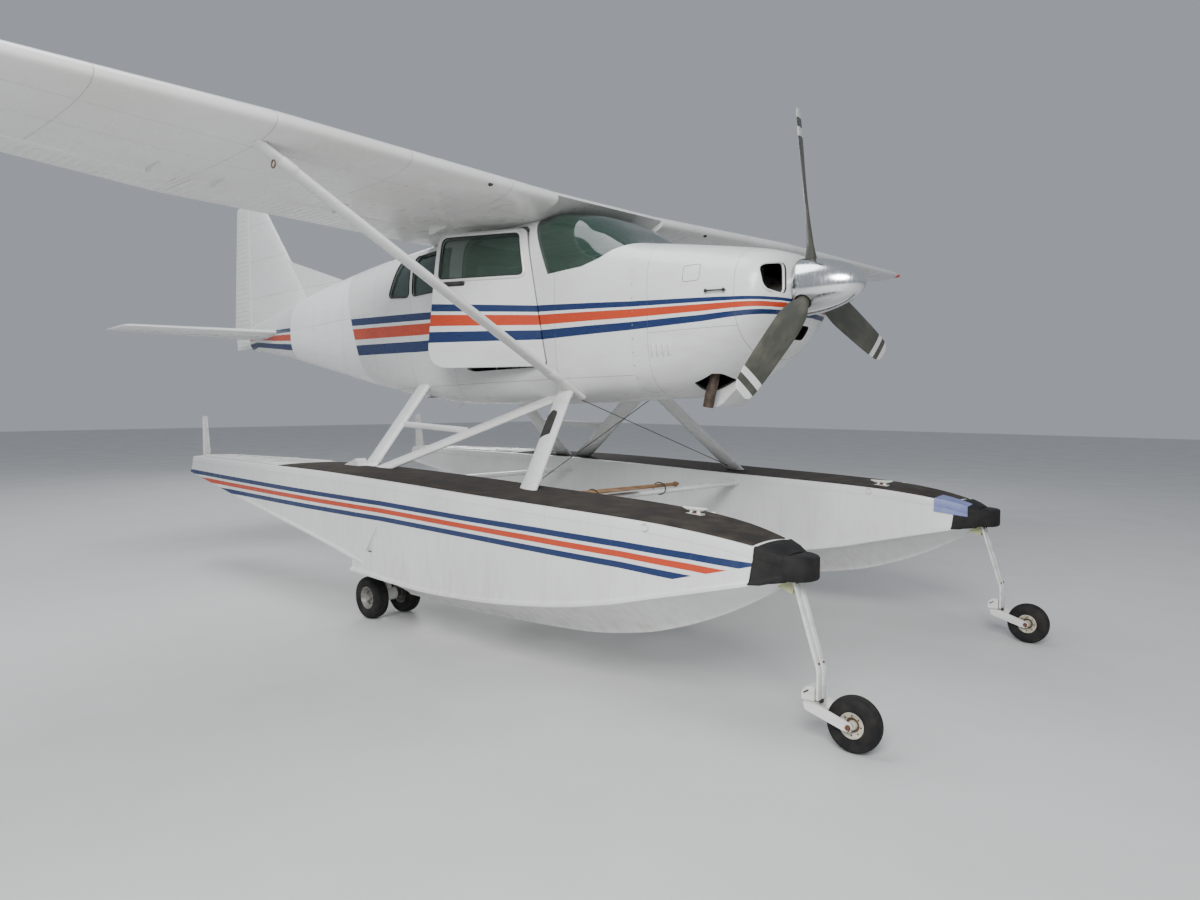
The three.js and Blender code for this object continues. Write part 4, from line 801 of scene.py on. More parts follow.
# Wing struts and float struts: streamlined tubes with cuffs at their ends. Each wing strut
# shares a fitting with the front float strut. A step bar runs between rear strut and brace.
# Columns: foot, head, chord, thickness
STRUTS = {
    "wing_strut": ((-0.536, 0.520, -0.020), (-0.794, 2.520, 1.230), 0.118, 0.046),
    "front_strut": ((-0.275, 1.170, -0.690), (-0.590, 0.488, -0.020), 0.142, 0.054),
    "rear_strut": ((-2.150, 1.110, -0.625), (-2.240, 0.485, 0.045), 0.172, 0.054),
    "brace_strut": ((-2.060, 1.140, -0.620), (-0.760, 0.430, -0.075), 0.124, 0.050),
}
STEP_BAR = ((-2.190, 0.760, -0.246), (-1.345, 0.760, -0.300), 0.046, 0.026)
REAR_FOOT = [(-2.470, -0.640), (-2.470, -0.588), (-2.205, -0.505), (-2.120, -0.640)]
REAR_FOOT_YS = (1.068, 1.156)
strut_paint = white_paint("strut_paint", grime=0.35, warm=0.02)


def bar_ring(centre, axis, chord, thick, count=32):
    """A streamlined section, its chord as near the flight line as it can be."""
    fore = (Vector((1, 0, 0)) - axis * axis.x).normalized()
    over = axis.cross(fore)
    return [centre + fore * (chord / 2 * math.cos(a))
            + over * (thick / 2 * math.sin(a) * (0.78 + 0.22 * math.cos(a)))
            for a in full_turn(count)]


def faired_bar(name, start, end, chord, thick, sizes=((0, 1), (1, 1))):
    """A streamlined bar; its sizes are shares along it and scales of its section."""
    start, end = Vector(start), Vector(end)
    axis = (end - start).normalized()
    return loft(name, [bar_ring(start.lerp(end, share), axis, chord * scale, thick * scale)
                       for share, scale in sizes])


def on_strut(row, side, share):
    foot, head = (Vector((x, side * y, z)) for x, y, z in row[:2])
    return foot.lerp(head, share)


for name, side in SIDES:
    for key, row in STRUTS.items():
        parts = [faired_bar(key, on_strut(row, side, -0.05), on_strut(row, side, 1.03), *row[2:])]
        if key == "rear_strut":
            parts.append(faired_bar("step_bar", *(on_strut(STEP_BAR, side, k) for k in (0, 1)),
                                    *STEP_BAR[2:]))
            parts.append(across("rear_foot", REAR_FOOT, *(side * y for y in REAR_FOOT_YS)))
        fitted(joined(f"{key}_skin_{name}", *parts), strut_paint, "white_paint", f"{key}_{name}")

# Tail cone, tailplane, elevator, fin and rudder: riveted sheet, the moving surfaces beaded. The
# fin runs forward into a long low dorsal fin.
TAIL_END = -6.10
# Columns: y, leading edge x, trailing edge x, thickness
TAILPLANE = [(0.0, -5.190, -6.240, 0.092), (1.56, -5.400, -6.030, 0.050)]
TAILPLANE_TIP = (1.64, -5.480, -5.960, 0.022)
TAILPLANE_Z = 0.742
ELEVATOR = {"x": -5.80, "inner": 0.14}
# Columns: z, leading edge x, trailing edge x, thickness
FIN = [(0.640, -4.520, -6.570, 0.088), (0.936, -4.755, -6.612, 0.088), (2.078, -5.715, -6.502, 0.056),
       (2.230, -5.842, -6.486, 0.050)]
FIN_TIP = (2.290, -5.960, -6.440, 0.022)
RUDDER_X = -6.172
DORSAL = [(-4.09, 1.12), (-4.09, 1.162), (-5.232, 1.51), (-5.50, 1.70), (-5.50, 0.90)]
TAIL_SEAMS = [("X", x, "Z", 0.0, 1.3) for x in (-3.6, -4.25, -4.85, -5.4)] + [("Z", 0.72, "X", -6.1, -3.0)]
FIN_SEAMS = [("Z", z, "X", -7.0, -4.0) for z in (1.2, 1.62, 2.02)]
tail_paint = white_paint("tail_paint", "station", stripes=True, seams=TAIL_SEAMS, grime=0.24)
fin_paint = white_paint("fin_paint", "station", seams=FIN_SEAMS, grime=0.24)
tail_rings = [fuselage_ring(x) for x in np.linspace(TAIL_END, CABIN_REAR - 0.0003, 64)]
fitted(loft("tail_cone_skin", tail_rings), tail_paint, "white_paint", "tail_cone")


def tail_row(rows, tip, span):
    """A tail section's leading and trailing edge and thickness, rounded off at the tip."""
    table = np.array(rows)
    lead, trail, thick = (float(np.interp(span, table[:, 0], table[:, k])) for k in (1, 2, 3))
    if span > rows[-1][0]:
        t = (span - rows[-1][0]) / (tip[0] - rows[-1][0])
        share = math.sqrt(max(0.01, 1 - t**2))
        lead, trail = (edge + (end - edge) * (1 - share) for edge, end in ((lead, tip[1]), (trail, tip[2])))
        thick *= share
    return lead, trail, thick


def tail_surface(name, rows, tip, spans, hinge_x, place, beads_to=None):
    """The part of a tail surface ahead of its hinge or, with beads, the moving part behind it."""
    rings = []
    for span in spans:
        lead, trail, thick = tail_row(rows, tip, span)
        chord = lead - trail
        faces = faces_of(thick / 0.12 / chord, chord, 0.0008, 0.0)
        hinge = (lead - hinge_x) / chord
        if beads_to:
            section = moving_ring(faces, hinge, bead_lift(span) if span < beads_to else 0.0)
        else:
            section = fixed_ring(faces, hinge)
        rings.append([place(lead - p, n, span) for p, n in section])
    return loft(name, rings)


def rounding(start, end):
    """Stations that close up towards a rounded tip."""
    return [start + (end - start) * math.sin(t) for t in np.linspace(0, 1.5, 8)]


round_tip = rounding(TAILPLANE[-1][0], TAILPLANE_TIP[0])
beaded = [*np.arange(ELEVATOR["inner"], 1.56, BEAD["pitch"] / 6), *round_tip]
stabilisers, elevators = [], []
for side in (1, -1):
    plane = (TAILPLANE, TAILPLANE_TIP)
    hung = (ELEVATOR["x"], lambda x, n, span, side=side: (x, side * span, TAILPLANE_Z + n))
    stabilisers.append(tail_surface("stabiliser", *plane, [0.0, 0.5, 1.0, *round_tip], *hung))
    elevators.append(tail_surface("elevator_half", *plane, beaded, *hung, 1.55))
elevators.append(pin("torque_tube", ELEVATOR["x"], -0.3, 0.3, TAILPLANE_Z, 0.02))
fitted(joined("tailplane_skin", *stabilisers), fin_paint, "white_paint", "tailplane", angle=40)
fitted(joined("elevator_skin", *elevators), surface_paint, "white_paint", "elevator", body="elevator",
       angle=40)
fin_tip = rounding(FIN[-1][0], FIN_TIP[0])
upright = (RUDDER_X, lambda x, n, span: (x, n, span))
fin_body = tail_surface("fin_body", FIN, FIN_TIP, [0.90, 0.936, 1.3, 1.7, 2.078, *fin_tip], *upright)
fitted(joined("fin_skin", fin_body, across("dorsal", DORSAL, -0.013, 0.013)), fin_paint, "white_paint", "fin",
       angle=40)
rudder_spans = [*np.arange(0.640, 2.22, BEAD["pitch"] / 6), *fin_tip]
rudder = tail_surface("rudder_skin", FIN, FIN_TIP, rudder_spans, *upright, 2.2)
fitted(rudder, surface_paint, "white_paint", "rudder", body="rudder", angle=40)

# Propeller: three aluminium blades in a hub, painted dull olive grey with two white tip bands.
# The spinner is spun from aluminium, polished, and cut out round the blade shanks.
PROP = {"x": 1.043, "r": 1.033, "lean": 9.3, "blades": 3}
# Columns: radius, chord, thickness, pitch in degrees
BLADE_SECTIONS = [(0.060, 0.078, 0.076, 50), (0.170, 0.084, 0.066, 46), (0.250, 0.138, 0.034, 40),
                  (0.420, 0.168, 0.024, 31), (0.700, 0.164, 0.017, 23), (0.940, 0.146, 0.011, 19),
                  (1.010, 0.120, 0.008, 18), (PROP["r"], 0.070, 0.006, 18)]
TIP_BANDS = [(0.873, 0.926), (0.980, 1.040)]
SPINNER = {"base": 0.985, "tip": 1.379, "radius": 0.172, "wall": 0.004, "power": 1.75}
HUB = {"radius": 0.066, "half": 0.062}

blade_paint, tree, shader = new_material("blade_paint", (0.060, 0.062, 0.050), 0.42)
where = own_place(tree, "blade")
out = node(tree, "SeparateXYZ", i0=where).outputs[2]
bands = [sums(tree, "COMPARE", out, (low + high) / 2, (high - low) / 2) for low, high in TIP_BANDS]
wear = noise(tree, where, 16.0, 6.0, (1, 1, 0.3))
tone = blended(tree, ramp(tree, wear, [(0.45, 0.0), (0.75, 1.0)]), (0.058, 0.060, 0.048),
               (0.115, 0.110, 0.088))
tone = blended(tree, sums(tree, "MAXIMUM", *bands), tone, (0.72, 0.72, 0.68))
wire_up(tree, shader, tone, (wear, [(0.3, 0.34), (0.8, 0.6)]))
polished, tree, shader = new_material("polished_aluminium", (0.80, 0.81, 0.82), 0.16, Metallic=1.0)
where = own_place(tree)
brushing = noise(tree, where, 22.0, 6.0, (7, 1, 1))
wire_up(tree, shader, None, (brushing, [(0.3, 0.10), (0.75, 0.30)]), noise(tree, where, 11.0, 2.0), 0.06,
        0.004)


def blade_ring(row, count=28):
    """A blade section: round at the shank, and a thin flat-backed section further out."""
    r, chord, thick, pitch = row
    c, s = math.cos(math.radians(pitch)), math.sin(math.radians(pitch))
    flat = min(1.0, max(0.0, (r - 0.17) / 0.12))
    ring = []
    for turn in full_turn(count):
        u = chord / 2 * math.cos(turn)
        w = thick / 2 * math.sin(turn) * (1 + 0.25 * flat * math.cos(turn))
        ring.append((u * s + w * c, -u * c + w * s, r))
    return ring


def set_at(x=0.0, y=0.0, z=0.0, degrees=0.0, axis="Y"):
    """The place and the turn of a shape drawn at the origin."""
    return Matrix.Translation((x, y, z)) @ Matrix.Rotation(math.radians(degrees), 4, axis)


blade_turns = [set_at(PROP["x"], 0, SHAFT_Z, PROP["lean"] + k * 360 / PROP["blades"], "X")
               for k in range(PROP["blades"])]
blades = []
for turn in blade_turns:
    stations = [0.06, *np.linspace(0.08, 1.0, 40), 1.015, 1.026, 1.031, PROP["r"]]
    blade = loft("blade", [blade_ring(eased(BLADE_SECTIONS, r)) for r in stations])
    keep_drawn(blade, "blade")
    blade.data.transform(turn)
    blades.append(blade)
hub_ends = ((PROP["x"] + way * HUB["half"], 0, SHAFT_Z) for way in (-1, 1))
blades.append(rod("hub", *hub_ends, HUB["radius"], 40))
fitted(joined("propeller_blades", *blades), blade_paint, "blade_paint", "propeller", body="propeller",
       angle=40)


def turned(name, profile, matrix=Matrix(), steps=72, closed=False):
    """A turned piece about the x axis. Profile columns: x, radius."""
    rings = np.array([[(x, max(r, 1e-5) * math.cos(a), max(r, 1e-5) * math.sin(a)) for x, r in profile]
                      for a in full_turn(steps)])
    made = loft(name, rings, looped=True) if closed else loft(name, np.swapaxes(rings, 0, 1))
    shape = bmesh.new()
    shape.from_mesh(made.data)
    bmesh.ops.remove_doubles(shape, verts=shape.verts, dist=2e-5)
    shape.to_mesh(made.data)
    shape.free()
    outward(made)
    made.data.transform(matrix)
    return made


def spinner_solid(name, radius, start, tip):
    profile = [(start + (tip - start) * s, radius * (1 - s ** SPINNER["power"]) ** 0.5)
               for s in (1 - (1 - np.linspace(0, 1, 40)) ** 2)]
    return turned(name, profile, at_shaft, 96)


at_shaft = set_at(z=SHAFT_Z)
base, tip, radius, wall, _ = SPINNER.values()
shell = spinner_solid("spinner_shell", radius, base, tip)
cutters = [spinner_solid("spinner_hollow", radius - wall, base - 0.01, tip - wall)]
for turn in blade_turns:
    cutters.append(rod("shank_hole", (0, 0, 0.09), (0, 0, 0.2), 0.052, 40))
    cutters[-1].data.transform(turn)
carve(shell, *cutters)
fitted(shell, polished, "spinner_metal", "spinner", body="propeller")
PLATE_EDGE = [(0.986, 0.069), (0.986, 0.171), (0.989, 0.1735), (0.996, 0.1735), (0.999, 0.170),
              (0.992, 0.166),
              (0.992, 0.069)]
plate = turned("spinner_plate", PLATE_EDGE, at_shaft, 96, closed=True)
fitted(plate, bright_metal, "spinner_metal", body="propeller")

# Engine: a flat six on four tubes, its finned cylinders behind the intakes, with slotted sheet
# baffles ahead of them. One sooty steel exhaust stack leaves through the cowling on each side shown.
CYLINDER = {"radius": 0.070, "fin": 0.088, "from": 0.16, "to": 0.325, "z": 0.545, "xs": (0.32, 0.50, 0.68),
            "fins": 13}
CASE = {"back": 0.19, "front": 0.77, "half": 0.15, "low": 0.42, "high": 0.64}
SUMP = {"back": 0.24, "front": 0.70, "half": 0.11, "low": 0.18, "high": 0.43}
cast_metal = worn("engine_casting", (0.20, 0.20, 0.19), 0.6, (0.11, 0.09, 0.07), 18.0, 0.4, 0.002,
                  Metallic=0.5)
sooty_steel = worn("sooty_steel", (0.075, 0.060, 0.050), 0.62, (0.17, 0.12, 0.085), 26.0, 0.3, 0.001,
                   Metallic=0.7)
grey_baffle = worn("baffle_sheet", (0.24, 0.235, 0.22), 0.5, (0.13, 0.12, 0.10), 12.0, Metallic=0.4)


def plain_box(name, x0, x1, y0, y1, z0, z1):
    return loft(name, [[(x, y0, z0), (x, y1, z0), (x, y1, z1), (x, y0, z1)] for x in (x0, x1)])


def block(name, *ends, radius=0.012):
    """A cast or folded block with its edges rounded."""
    made = plain_box(name, *ends)
    bevel = made.modifiers.new("edges", "BEVEL")
    bevel.width = radius
    bevel.segments = 3
    bevel.limit_method = "NONE"
    return evaluated_mesh(made)


parts = [block("case", CASE["back"], CASE["front"], -CASE["half"], CASE["half"], CASE["low"], CASE["high"]),
         block("sump", SUMP["back"], SUMP["front"], -SUMP["half"], SUMP["half"], SUMP["low"], SUMP["high"]),
         rod("shaft", (CASE["front"] - 0.02, 0, SHAFT_Z), (PROP["x"] - HUB["half"] - 0.0003, 0, SHAFT_Z),
             0.046, 40)]
for side in (1, -1):
    root, head, z = CYLINDER["from"], CYLINDER["to"], CYLINDER["z"]
    for x in CYLINDER["xs"]:
        parts.append(pin("barrel", x, side * 0.12, side * head, z, CYLINDER["radius"]))
        for y in np.linspace(root, head, CYLINDER["fins"]):
            parts.append(pin("fin", x, side * y, side * (y + 0.004), z, CYLINDER["fin"]))
    for at_wall, at_case in ((0.600, 0.480), (0.250, 0.340)):
        parts.append(tube("mount_tube", [(0.003, side * 0.238, at_wall), (0.26, side * 0.10, at_case)],
                          0.014, 16))
fitted(joined("engine", *parts), cast_metal, "engine_metal", "engine_block", angle=40)
BAFFLE = [(0.13, 0.44), (0.13, 0.68), (0.40, 0.66), (0.43, 0.60), (0.43, 0.50), (0.40, 0.46)]
for name, side in SIDES:
    baffle = along_nose(f"baffle_{name}", [(side * y, z) for y, z in BAFFLE], 0.775, 0.779)
    for z in (0.505, 0.545, 0.585, 0.625):
        carve(baffle, along_nose("slot", rounded_box(side * 0.22, side * 0.38, z - 0.013, z + 0.013, 0.01),
                                 0.7, 0.8))
    fitted(baffle, grey_baffle, "engine_metal")
route = [(EXHAUST["x"] - aft, EXHAUST["y"], z) for aft, z in
         ((0, 0.36), (0, 0.20), (0, 0.06), (0.02, -0.02), (0.045, -0.10), (0.06, EXHAUST["tip"]))]
stack = tube("exhaust_stack", route, EXHAUST["radius"], 32)
bore_end = (EXHAUST["x"] - 0.066, EXHAUST["y"], EXHAUST["tip"] - 0.02)
carve(stack, tube("bore", [*route[2:], bore_end], EXHAUST["radius"] - 0.0025, 32))
fitted(stack, sooty_steel, "engine_metal")

# Floats: two riveted aluminium hulls, decked over, with a fluted bottom, a step, a chine rail
# and a gunwale strip. The outboard sides carry the stripes, which end in points at the bow.
OVER_FLOOR = Matrix.Translation((FIREWALL_AHEAD, 0, 0))
FLOAT_Y = 1.22
STEP_X = -1.6
# Columns: x, keel z, chine z, chine half width, side foot half width, deck edge z, deck half width
FOREBODY = [
    (1.640, 0.735, 0.752, 0.100, 0.096, 0.842, 0.092),
    (1.560, 0.676, 0.728, 0.168, 0.160, 0.872, 0.138),
    (1.400, 0.578, 0.690, 0.232, 0.220, 0.906, 0.190),
    (1.227, 0.489, 0.648, 0.276, 0.262, 0.932, 0.232),
    (1.000, 0.396, 0.592, 0.312, 0.297, 0.954, 0.268),
    (0.745, 0.318, 0.528, 0.335, 0.320, 0.968, 0.295),
    (0.309, 0.245, 0.449, 0.347, 0.332, 0.982, 0.318),
    (-0.303, 0.210, 0.384, 0.350, 0.335, 0.996, 0.326),
    (-0.844, 0.194, 0.362, 0.350, 0.335, 1.012, 0.328),
    (STEP_X, 0.195, 0.386, 0.350, 0.335, 1.030, 0.328),
]
AFTERBODY = [
    (-1.480, 0.405, 0.448, 0.340, 0.334, 1.028, 0.328),
    (-2.150, 0.520, 0.562, 0.326, 0.320, 1.036, 0.314),
    (-3.400, 0.706, 0.722, 0.254, 0.250, 1.030, 0.244),
    (-4.640, 0.872, 0.876, 0.160, 0.157, 1.016, 0.150),
]
# The bottom's curve from keel to chine. Columns: share of the half width, share of the rise
BOTTOM = [(0.0, 0.0), (0.3, 0.37), (0.6, 0.71), (0.8, 0.93), (0.9, 0.985), (1.0, 0.955)]
TRANSOM = {"foot": (-4.640, 0.876), "head": (-4.560, 1.026)}
STEP_NOTCH = {"front": -1.380, "top": 0.372}
WELL = {"front": -1.492, "back": -2.120, "half": 0.200, "top": 0.470}
BUMPER = {"back": 1.505, "low": 0.715, "lean": 0.08, "nose": 1.640, "radius": 0.110, "nose_low": 0.735}
FLOAT_BAND_TOP = [(-4.6, 0.893), (-1.25, 0.886), (-0.42, 0.871), (0.27, 0.864), (0.82, 0.852), (1.22, 0.834),
                  (1.6, 0.806)]
FLOAT_BAND_FOOT = [(-4.6, 0.742), (-1.25, 0.753), (-0.42, 0.740), (0.27, 0.727), (0.82, 0.717), (1.22, 0.694),
                   (1.6, 0.660)]
FLOAT_STRIPES = [(0.0, NAVY), (0.24, WHITE), (0.40, RED), (0.635, WHITE), (0.76, NAVY)]
BAND_END = (1.13, 0.425)
BULKHEADS = np.arange(-4.3, 1.4, 0.46)

# The hulls' enamel, with streaks of dirt weighted towards the bottom as painted shade of the underside, and
# dents between the bulkheads
float_paint, tree, shader = new_material("float_paint", WHITE, 0.35, Coat_Weight=0.15, Coat_Roughness=0.2)
where = own_place(tree, "hull")
x, y, z = node(tree, "SeparateXYZ", i0=where).outputs
broad = noise(tree, where, 2.2, 5.0)
streaks = noise(tree, where, 11.0, 6.0, (2.2, 1, 0.45))
scuffs = noise(tree, where, 30.0, 6.0, (0.6, 1, 2.5))
# Darker towards the bottom: dirt streaks, and painted shade of the hull's underside
low = ramp(tree, z, [(0.15, 0.60), (0.55, 0.18), (0.9, 0.08)])
soiled = sums(tree, "MULTIPLY", ramp(tree, streaks, [(0.42, 0.0), (0.72, 1.0)]), low)
clean = ramp(tree, broad, [(0.3, (0.90, 0.90, 0.885)), (0.7, (1.0, 1.0, 0.99))])
tone = blended(tree, soiled, clean, (0.56, 0.53, 0.47))
tone = blended(tree, ramp(tree, scuffs, [(0.66, 0.0), (0.76, 0.25)]), tone, (0.62, 0.62, 0.61))
share, bands = striped_band(tree, x, z, (FLOAT_BAND_FOOT, FLOAT_BAND_TOP), -4.7, 6.4, FLOAT_STRIPES)
ahead = sums(tree, "MULTIPLY_ADD", share, BAND_END[1], BAND_END[0])
outboard = sums(tree, "MULTIPLY", sums(tree, "LESS_THAN", x, ahead), sums(tree, "GREATER_THAN", y, 0.0))
paint = blended(tree, 1.0, blended(tree, outboard, WHITE, bands), tone, "MULTIPLY")
seams = seam_lines(tree, where, [("X", float(at), "Z", 0.1, 0.98) for at in BULKHEADS], 0.0009)
paint = blended(tree, sums(tree, "MULTIPLY", seams, 0.28), paint, (0.2, 0.2, 0.2))
# Sheet pulled in a little at each bulkhead, and dented between them
wave = sums(tree, "MULTIPLY", sums(tree, "COSINE", sums(tree, "MULTIPLY", x, 2 * math.pi / 0.46)), 0.25)
height = sums(tree, "ADD", wave, sums(tree, "MULTIPLY", noise(tree, where, 6.0, 3.0), 0.9))
wire_up(tree, shader, paint, (streaks, [(0.35, 0.28), (0.8, 0.55)]), height, 0.18, 0.008)
non_skid = worn("non_skid_deck", (0.024, 0.020, 0.018), 0.9, (0.060, 0.049, 0.038), 9.0, 0.9, 0.003,
                Specular_IOR_Level=0.25)
bumper_rubber = worn("bumper_rubber", (0.010, 0.010, 0.011), 0.75, (0.028, 0.026, 0.024), 12.0, 0.5, 0.002,
                     Specular_IOR_Level=0.25)


def hull_ring(row, y0, grow=0.0):
    """A hull section: keel bar, fluted bottom, chine rail, side, gunwale strip and deck."""
    x, keel, chine, chine_half, foot, deck, deck_half = row
    half = [(0.0, keel), (0.013, keel), (0.0145, keel + 0.004)]
    for share in np.linspace(0.08, 1.0, 15):
        half.append((chine_half * share, keel + (chine - keel) * eased(BOTTOM, share)[1]))
    half += [(chine_half + 0.004, chine - 0.006), (chine_half + 0.004, chine + 0.008),
             (chine_half, chine + 0.011)]
    wall_foot, wall_head = np.array((foot, chine + 0.020)), np.array((deck_half + 0.008, deck - 0.050))
    half += [tuple(wall_foot + (wall_head - wall_foot) * t) for t in np.linspace(0, 1, 9)]
    half += [(deck_half + out, deck + up) for out, up in
             ((0.0105, -0.048), (0.0105, -0.010), (0.007, -0.001), (0.0, 0.002), (-0.014, 0.002))]
    half += [((deck_half - 0.016) * t, deck + 0.010 - 0.010 * t**2) for t in (1.0, 0.75, 0.5, 0.25, 0.0)]
    middle = (keel + deck) / 2
    half = [(y + (grow if y > 0 else 0), z + math.copysign(grow, z - middle)) for y, z in half]
    return [(x, y0 + y, z) for y, z in half + [(-y, z) for y, z in half[-2:0:-1]]]


def hull_body(name, y0, grow=0.0):
    parts = []
    for rows in (FOREBODY, AFTERBODY):
        ends = rows[0][0], rows[-1][0]
        xs = np.linspace(*ends, int(abs(ends[0] - ends[1]) / 0.055) + 1)
        parts.append(loft(name, [hull_ring(eased(rows, x), y0, grow) for x in xs]))
    return carve(parts[0], parts[1], operation="UNION", solver="MANIFOLD")


def hull_cut(name, outline, y0, half=0.4):
    return across(name, outline, y0 - half, y0 + half)


def bumper_zone(y0, gap):
    back, low, high = BUMPER["back"] + gap, BUMPER["low"] + gap, BUMPER["low"] + 0.4
    outline = [(back, low), (back + 0.4 * BUMPER["lean"], high), (back + 0.4, high), (back + 0.4, low)]
    return hull_cut("bumper_zone", outline, y0)


def deck_strip(name, y0, start, end, edge, thick):
    """A sheet laid over the deck's crown between two stations."""
    rings = []
    for x in np.linspace(start, end, int(abs(start - end) / 0.06)):
        deck, half = eased(FOREBODY if x > STEP_X + 0.05 else AFTERBODY, x)[5:]
        top = [((half - edge) * t, deck + 0.010 - 0.008 * t**2) for t in np.linspace(-1, 1, 11)]
        rings.append([(x, y0 + y, z + thick) for y, z in top]
                     + [(x, y0 + y, z - 0.012) for y, z in top[::-1]])
    return loft(name, rings)


def on_floats(made, material, slot, *nodes, **more):
    """Finishes a piece that is drawn over the floor, as the floats and the gear are."""
    return fitted(made, material, slot, *nodes, matrix=OVER_FLOOR, **more)


def ring_of(name, centre, radius, thick, sides, steps, squeeze=1.0):
    """A ring that stands along the nose."""
    x, y, z = centre
    route = [(x + radius * math.cos(a), y, z + radius * squeeze * math.sin(a)) for a in full_turn(steps)]
    return tube(name, route, thick, sides, looped=True)


blue_vinyl = worn("blue_vinyl", (0.16, 0.19, 0.42), 0.45, (0.22, 0.25, 0.46), 20.0)
CLEAT = {"x": 0.980, "y": 1.110, "top": 1.002}
FORK_EYE = {"x": -4.708, "z": 0.985, "in": 0.022, "out": 0.031}
cast_white = white_paint("cast_white", grime=0.8, warm=0.08)
rust = worn("rusty_steel", (0.16, 0.060, 0.025), 0.85, (0.07, 0.035, 0.02), 40.0, 0.6, 0.002)
TRANSOM_LEAN = (TRANSOM["head"][0] - TRANSOM["foot"][0]) / (TRANSOM["head"][1] - TRANSOM["foot"][1])
LID = [(0.0, 0.0), (0.0, 0.075), (0.006, 0.075), (0.009, 0.068), (0.009, 0.0)]
NOSE_ROLL = [(0.0, 0.0), (0.0, 0.095), (0.004, 0.105), (0.012, 0.110), (0.103, 0.110), (0.111, 0.105),
             (0.115, 0.095),
             (0.115, 0.0)]
HORN = ((-0.080, 0.004, 0.004), (-0.05, 0.010, 0.0095), (0.0, 0.011, 0.0105), (0.05, 0.010, 0.0095),
        (0.080, 0.004, 0.004))
BOLT = [(0.0, 0.0), (0.0, 0.016), (0.008, 0.016), (0.010, 0.012), (0.010, 0.0)]
for name, side in SIDES:
    y0 = side * FLOAT_Y
    hull = hull_body(f"float_hull_skin_{name}", y0)
    (fx, fz), (hx, hz) = TRANSOM["foot"], TRANSOM["head"]
    astern = [(fx, fz), (fx - 0.3, fz), (fx - 0.3, hz + 0.3), (hx + TRANSOM_LEAN * 0.3, hz + 0.3)]
    carve(hull,
          plain_box("well", WELL["back"], WELL["front"], y0 - WELL["half"], y0 + WELL["half"], 0.0,
                    WELL["top"]),
          plain_box("notch", STEP_X - 0.02, STEP_NOTCH["front"], y0 - 0.4, y0 + 0.4, 0.0, STEP_NOTCH["top"]),
          bumper_zone(y0, 0.0), hull_cut("transom_cut", astern, y0), solver="MANIFOLD")
    # A shallow wedge is pressed into each side over the step, with a drain slot at its foot drawn as a black
    # box, painted shade
    fork = []
    for way in (1, -1):
        flank = y0 + way * 0.333
        wedge = [[(-1.26, flank + way * 0.03, z), (x, flank + way * 0.03, z), (x, flank - way * deep, z)]
                 for z, x, deep in ((0.53, -1.44, 0.022), (0.705, -1.30, 0.002))]
        carve(hull, loft("wedge", wedge), solver="MANIFOLD")
        ex, ez = FORK_EYE["x"], FORK_EYE["z"]
        near, far = y0 + way * FORK_EYE["in"], y0 + way * FORK_EYE["out"]
        fork.append(pin("fork_eye", ex, near, far, ez, 0.016))
        low, high = sorted((near, far))
        fork.append(plain_box("fork_arm", ex, hx - 0.012, low, high, ez - 0.014, ez + 0.014))
    hull = joined(hull.name, hull, *fork)
    keep_drawn(hull, "hull", y0, side)
    on_floats(hull, float_paint, "float_paint", f"float_hull_{name}", angle=28)
    deck = deck_strip(f"deck_walkway_{name}", y0, -2.75, BUMPER["back"] - 0.01, 0.010, 0.0022)
    on_floats(deck, non_skid, "bumper_rubber")
    # Black boxes in the drain slots: painted shade inside them
    slot_shades = [plain_box("drain_slot", -1.405, -1.275, y0 + way * 0.333, y0 + way * 0.3235, 0.532, 0.538)
             for way in (1, -1)]
    on_floats(joined(f"drain_slots_{name}", *slot_shades), black_rubber, "bumper_rubber")
    # Raised rims round the bare stern deck, and round lids over the pump-out holes
    rim = []
    for way in (1, -1):
        for x in np.linspace(-4.42, -2.84, 20)[::way]:
            high, half = eased(AFTERBODY, x)[5:]
            rim.append((x, y0 + way * (half - 0.035), high + 0.007))
    trim = [tube("stern_rim", rim, 0.006, 10, looped=True)]
    for x in (-3.9, -3.35):
        trim.append(turned("lid", LID, set_at(x, y0, eased(AFTERBODY, x)[5] + 0.008, -90), 48))
    high = eased(AFTERBODY, -3.0)[5] + 0.008
    hatch = rounded_box(-2.87, -3.17, y0 - 0.15, y0 + 0.15, 0.03, 6)
    trim.append(loft("hatch", [[(x, y, high + rise) for x, y in hatch] for rise in (-0.01, 0.008)]))
    grip = [(-3.02, y0 + dy, high + up)
            for dy, up in ((-0.05, 0.008), (-0.045, 0.026), (0.045, 0.026), (0.05, 0.008))]
    trim.append(tube("hatch_grip", grip, 0.0045, 10))
    for way in (1, -1):
        trim.append(ring_of("mooring_ring", (0.969, y0 + way * 0.290, 0.938), 0.018, 0.0042, 10, 20))
    on_floats(joined(f"stern_fittings_{name}", *trim), cast_white, "float_paint")
    bumper = hull_body(f"bow_bumper_skin_{name}", y0, 0.006)
    carve(bumper, bumper_zone(y0, 0.0003), operation="INTERSECT", solver="MANIFOLD")
    nose = turned("bumper_nose", NOSE_ROLL, set_at(BUMPER["nose"], y0, BUMPER["nose_low"], -90), 64)
    carve(bumper, nose, operation="UNION", solver="MANIFOLD")
    on_floats(bumper, bumper_rubber, "bumper_rubber", f"bow_bumper_{name}", angle=40)
    if side > 0:
        strip = hull_body("bumper_strip", y0, 0.0085)
        zone = [(1.395, 0.828), (1.395, 0.935), (1.592, 0.93), (1.592, 0.80)]
        carve(strip, across("strip_zone", zone, y0 - 0.4, y0 - 0.05), operation="INTERSECT",
              solver="MANIFOLD")
        carve(strip, hull_body("under_strip", y0, 0.0064), solver="MANIFOLD")
        on_floats(strip, blue_vinyl, "bumper_rubber")
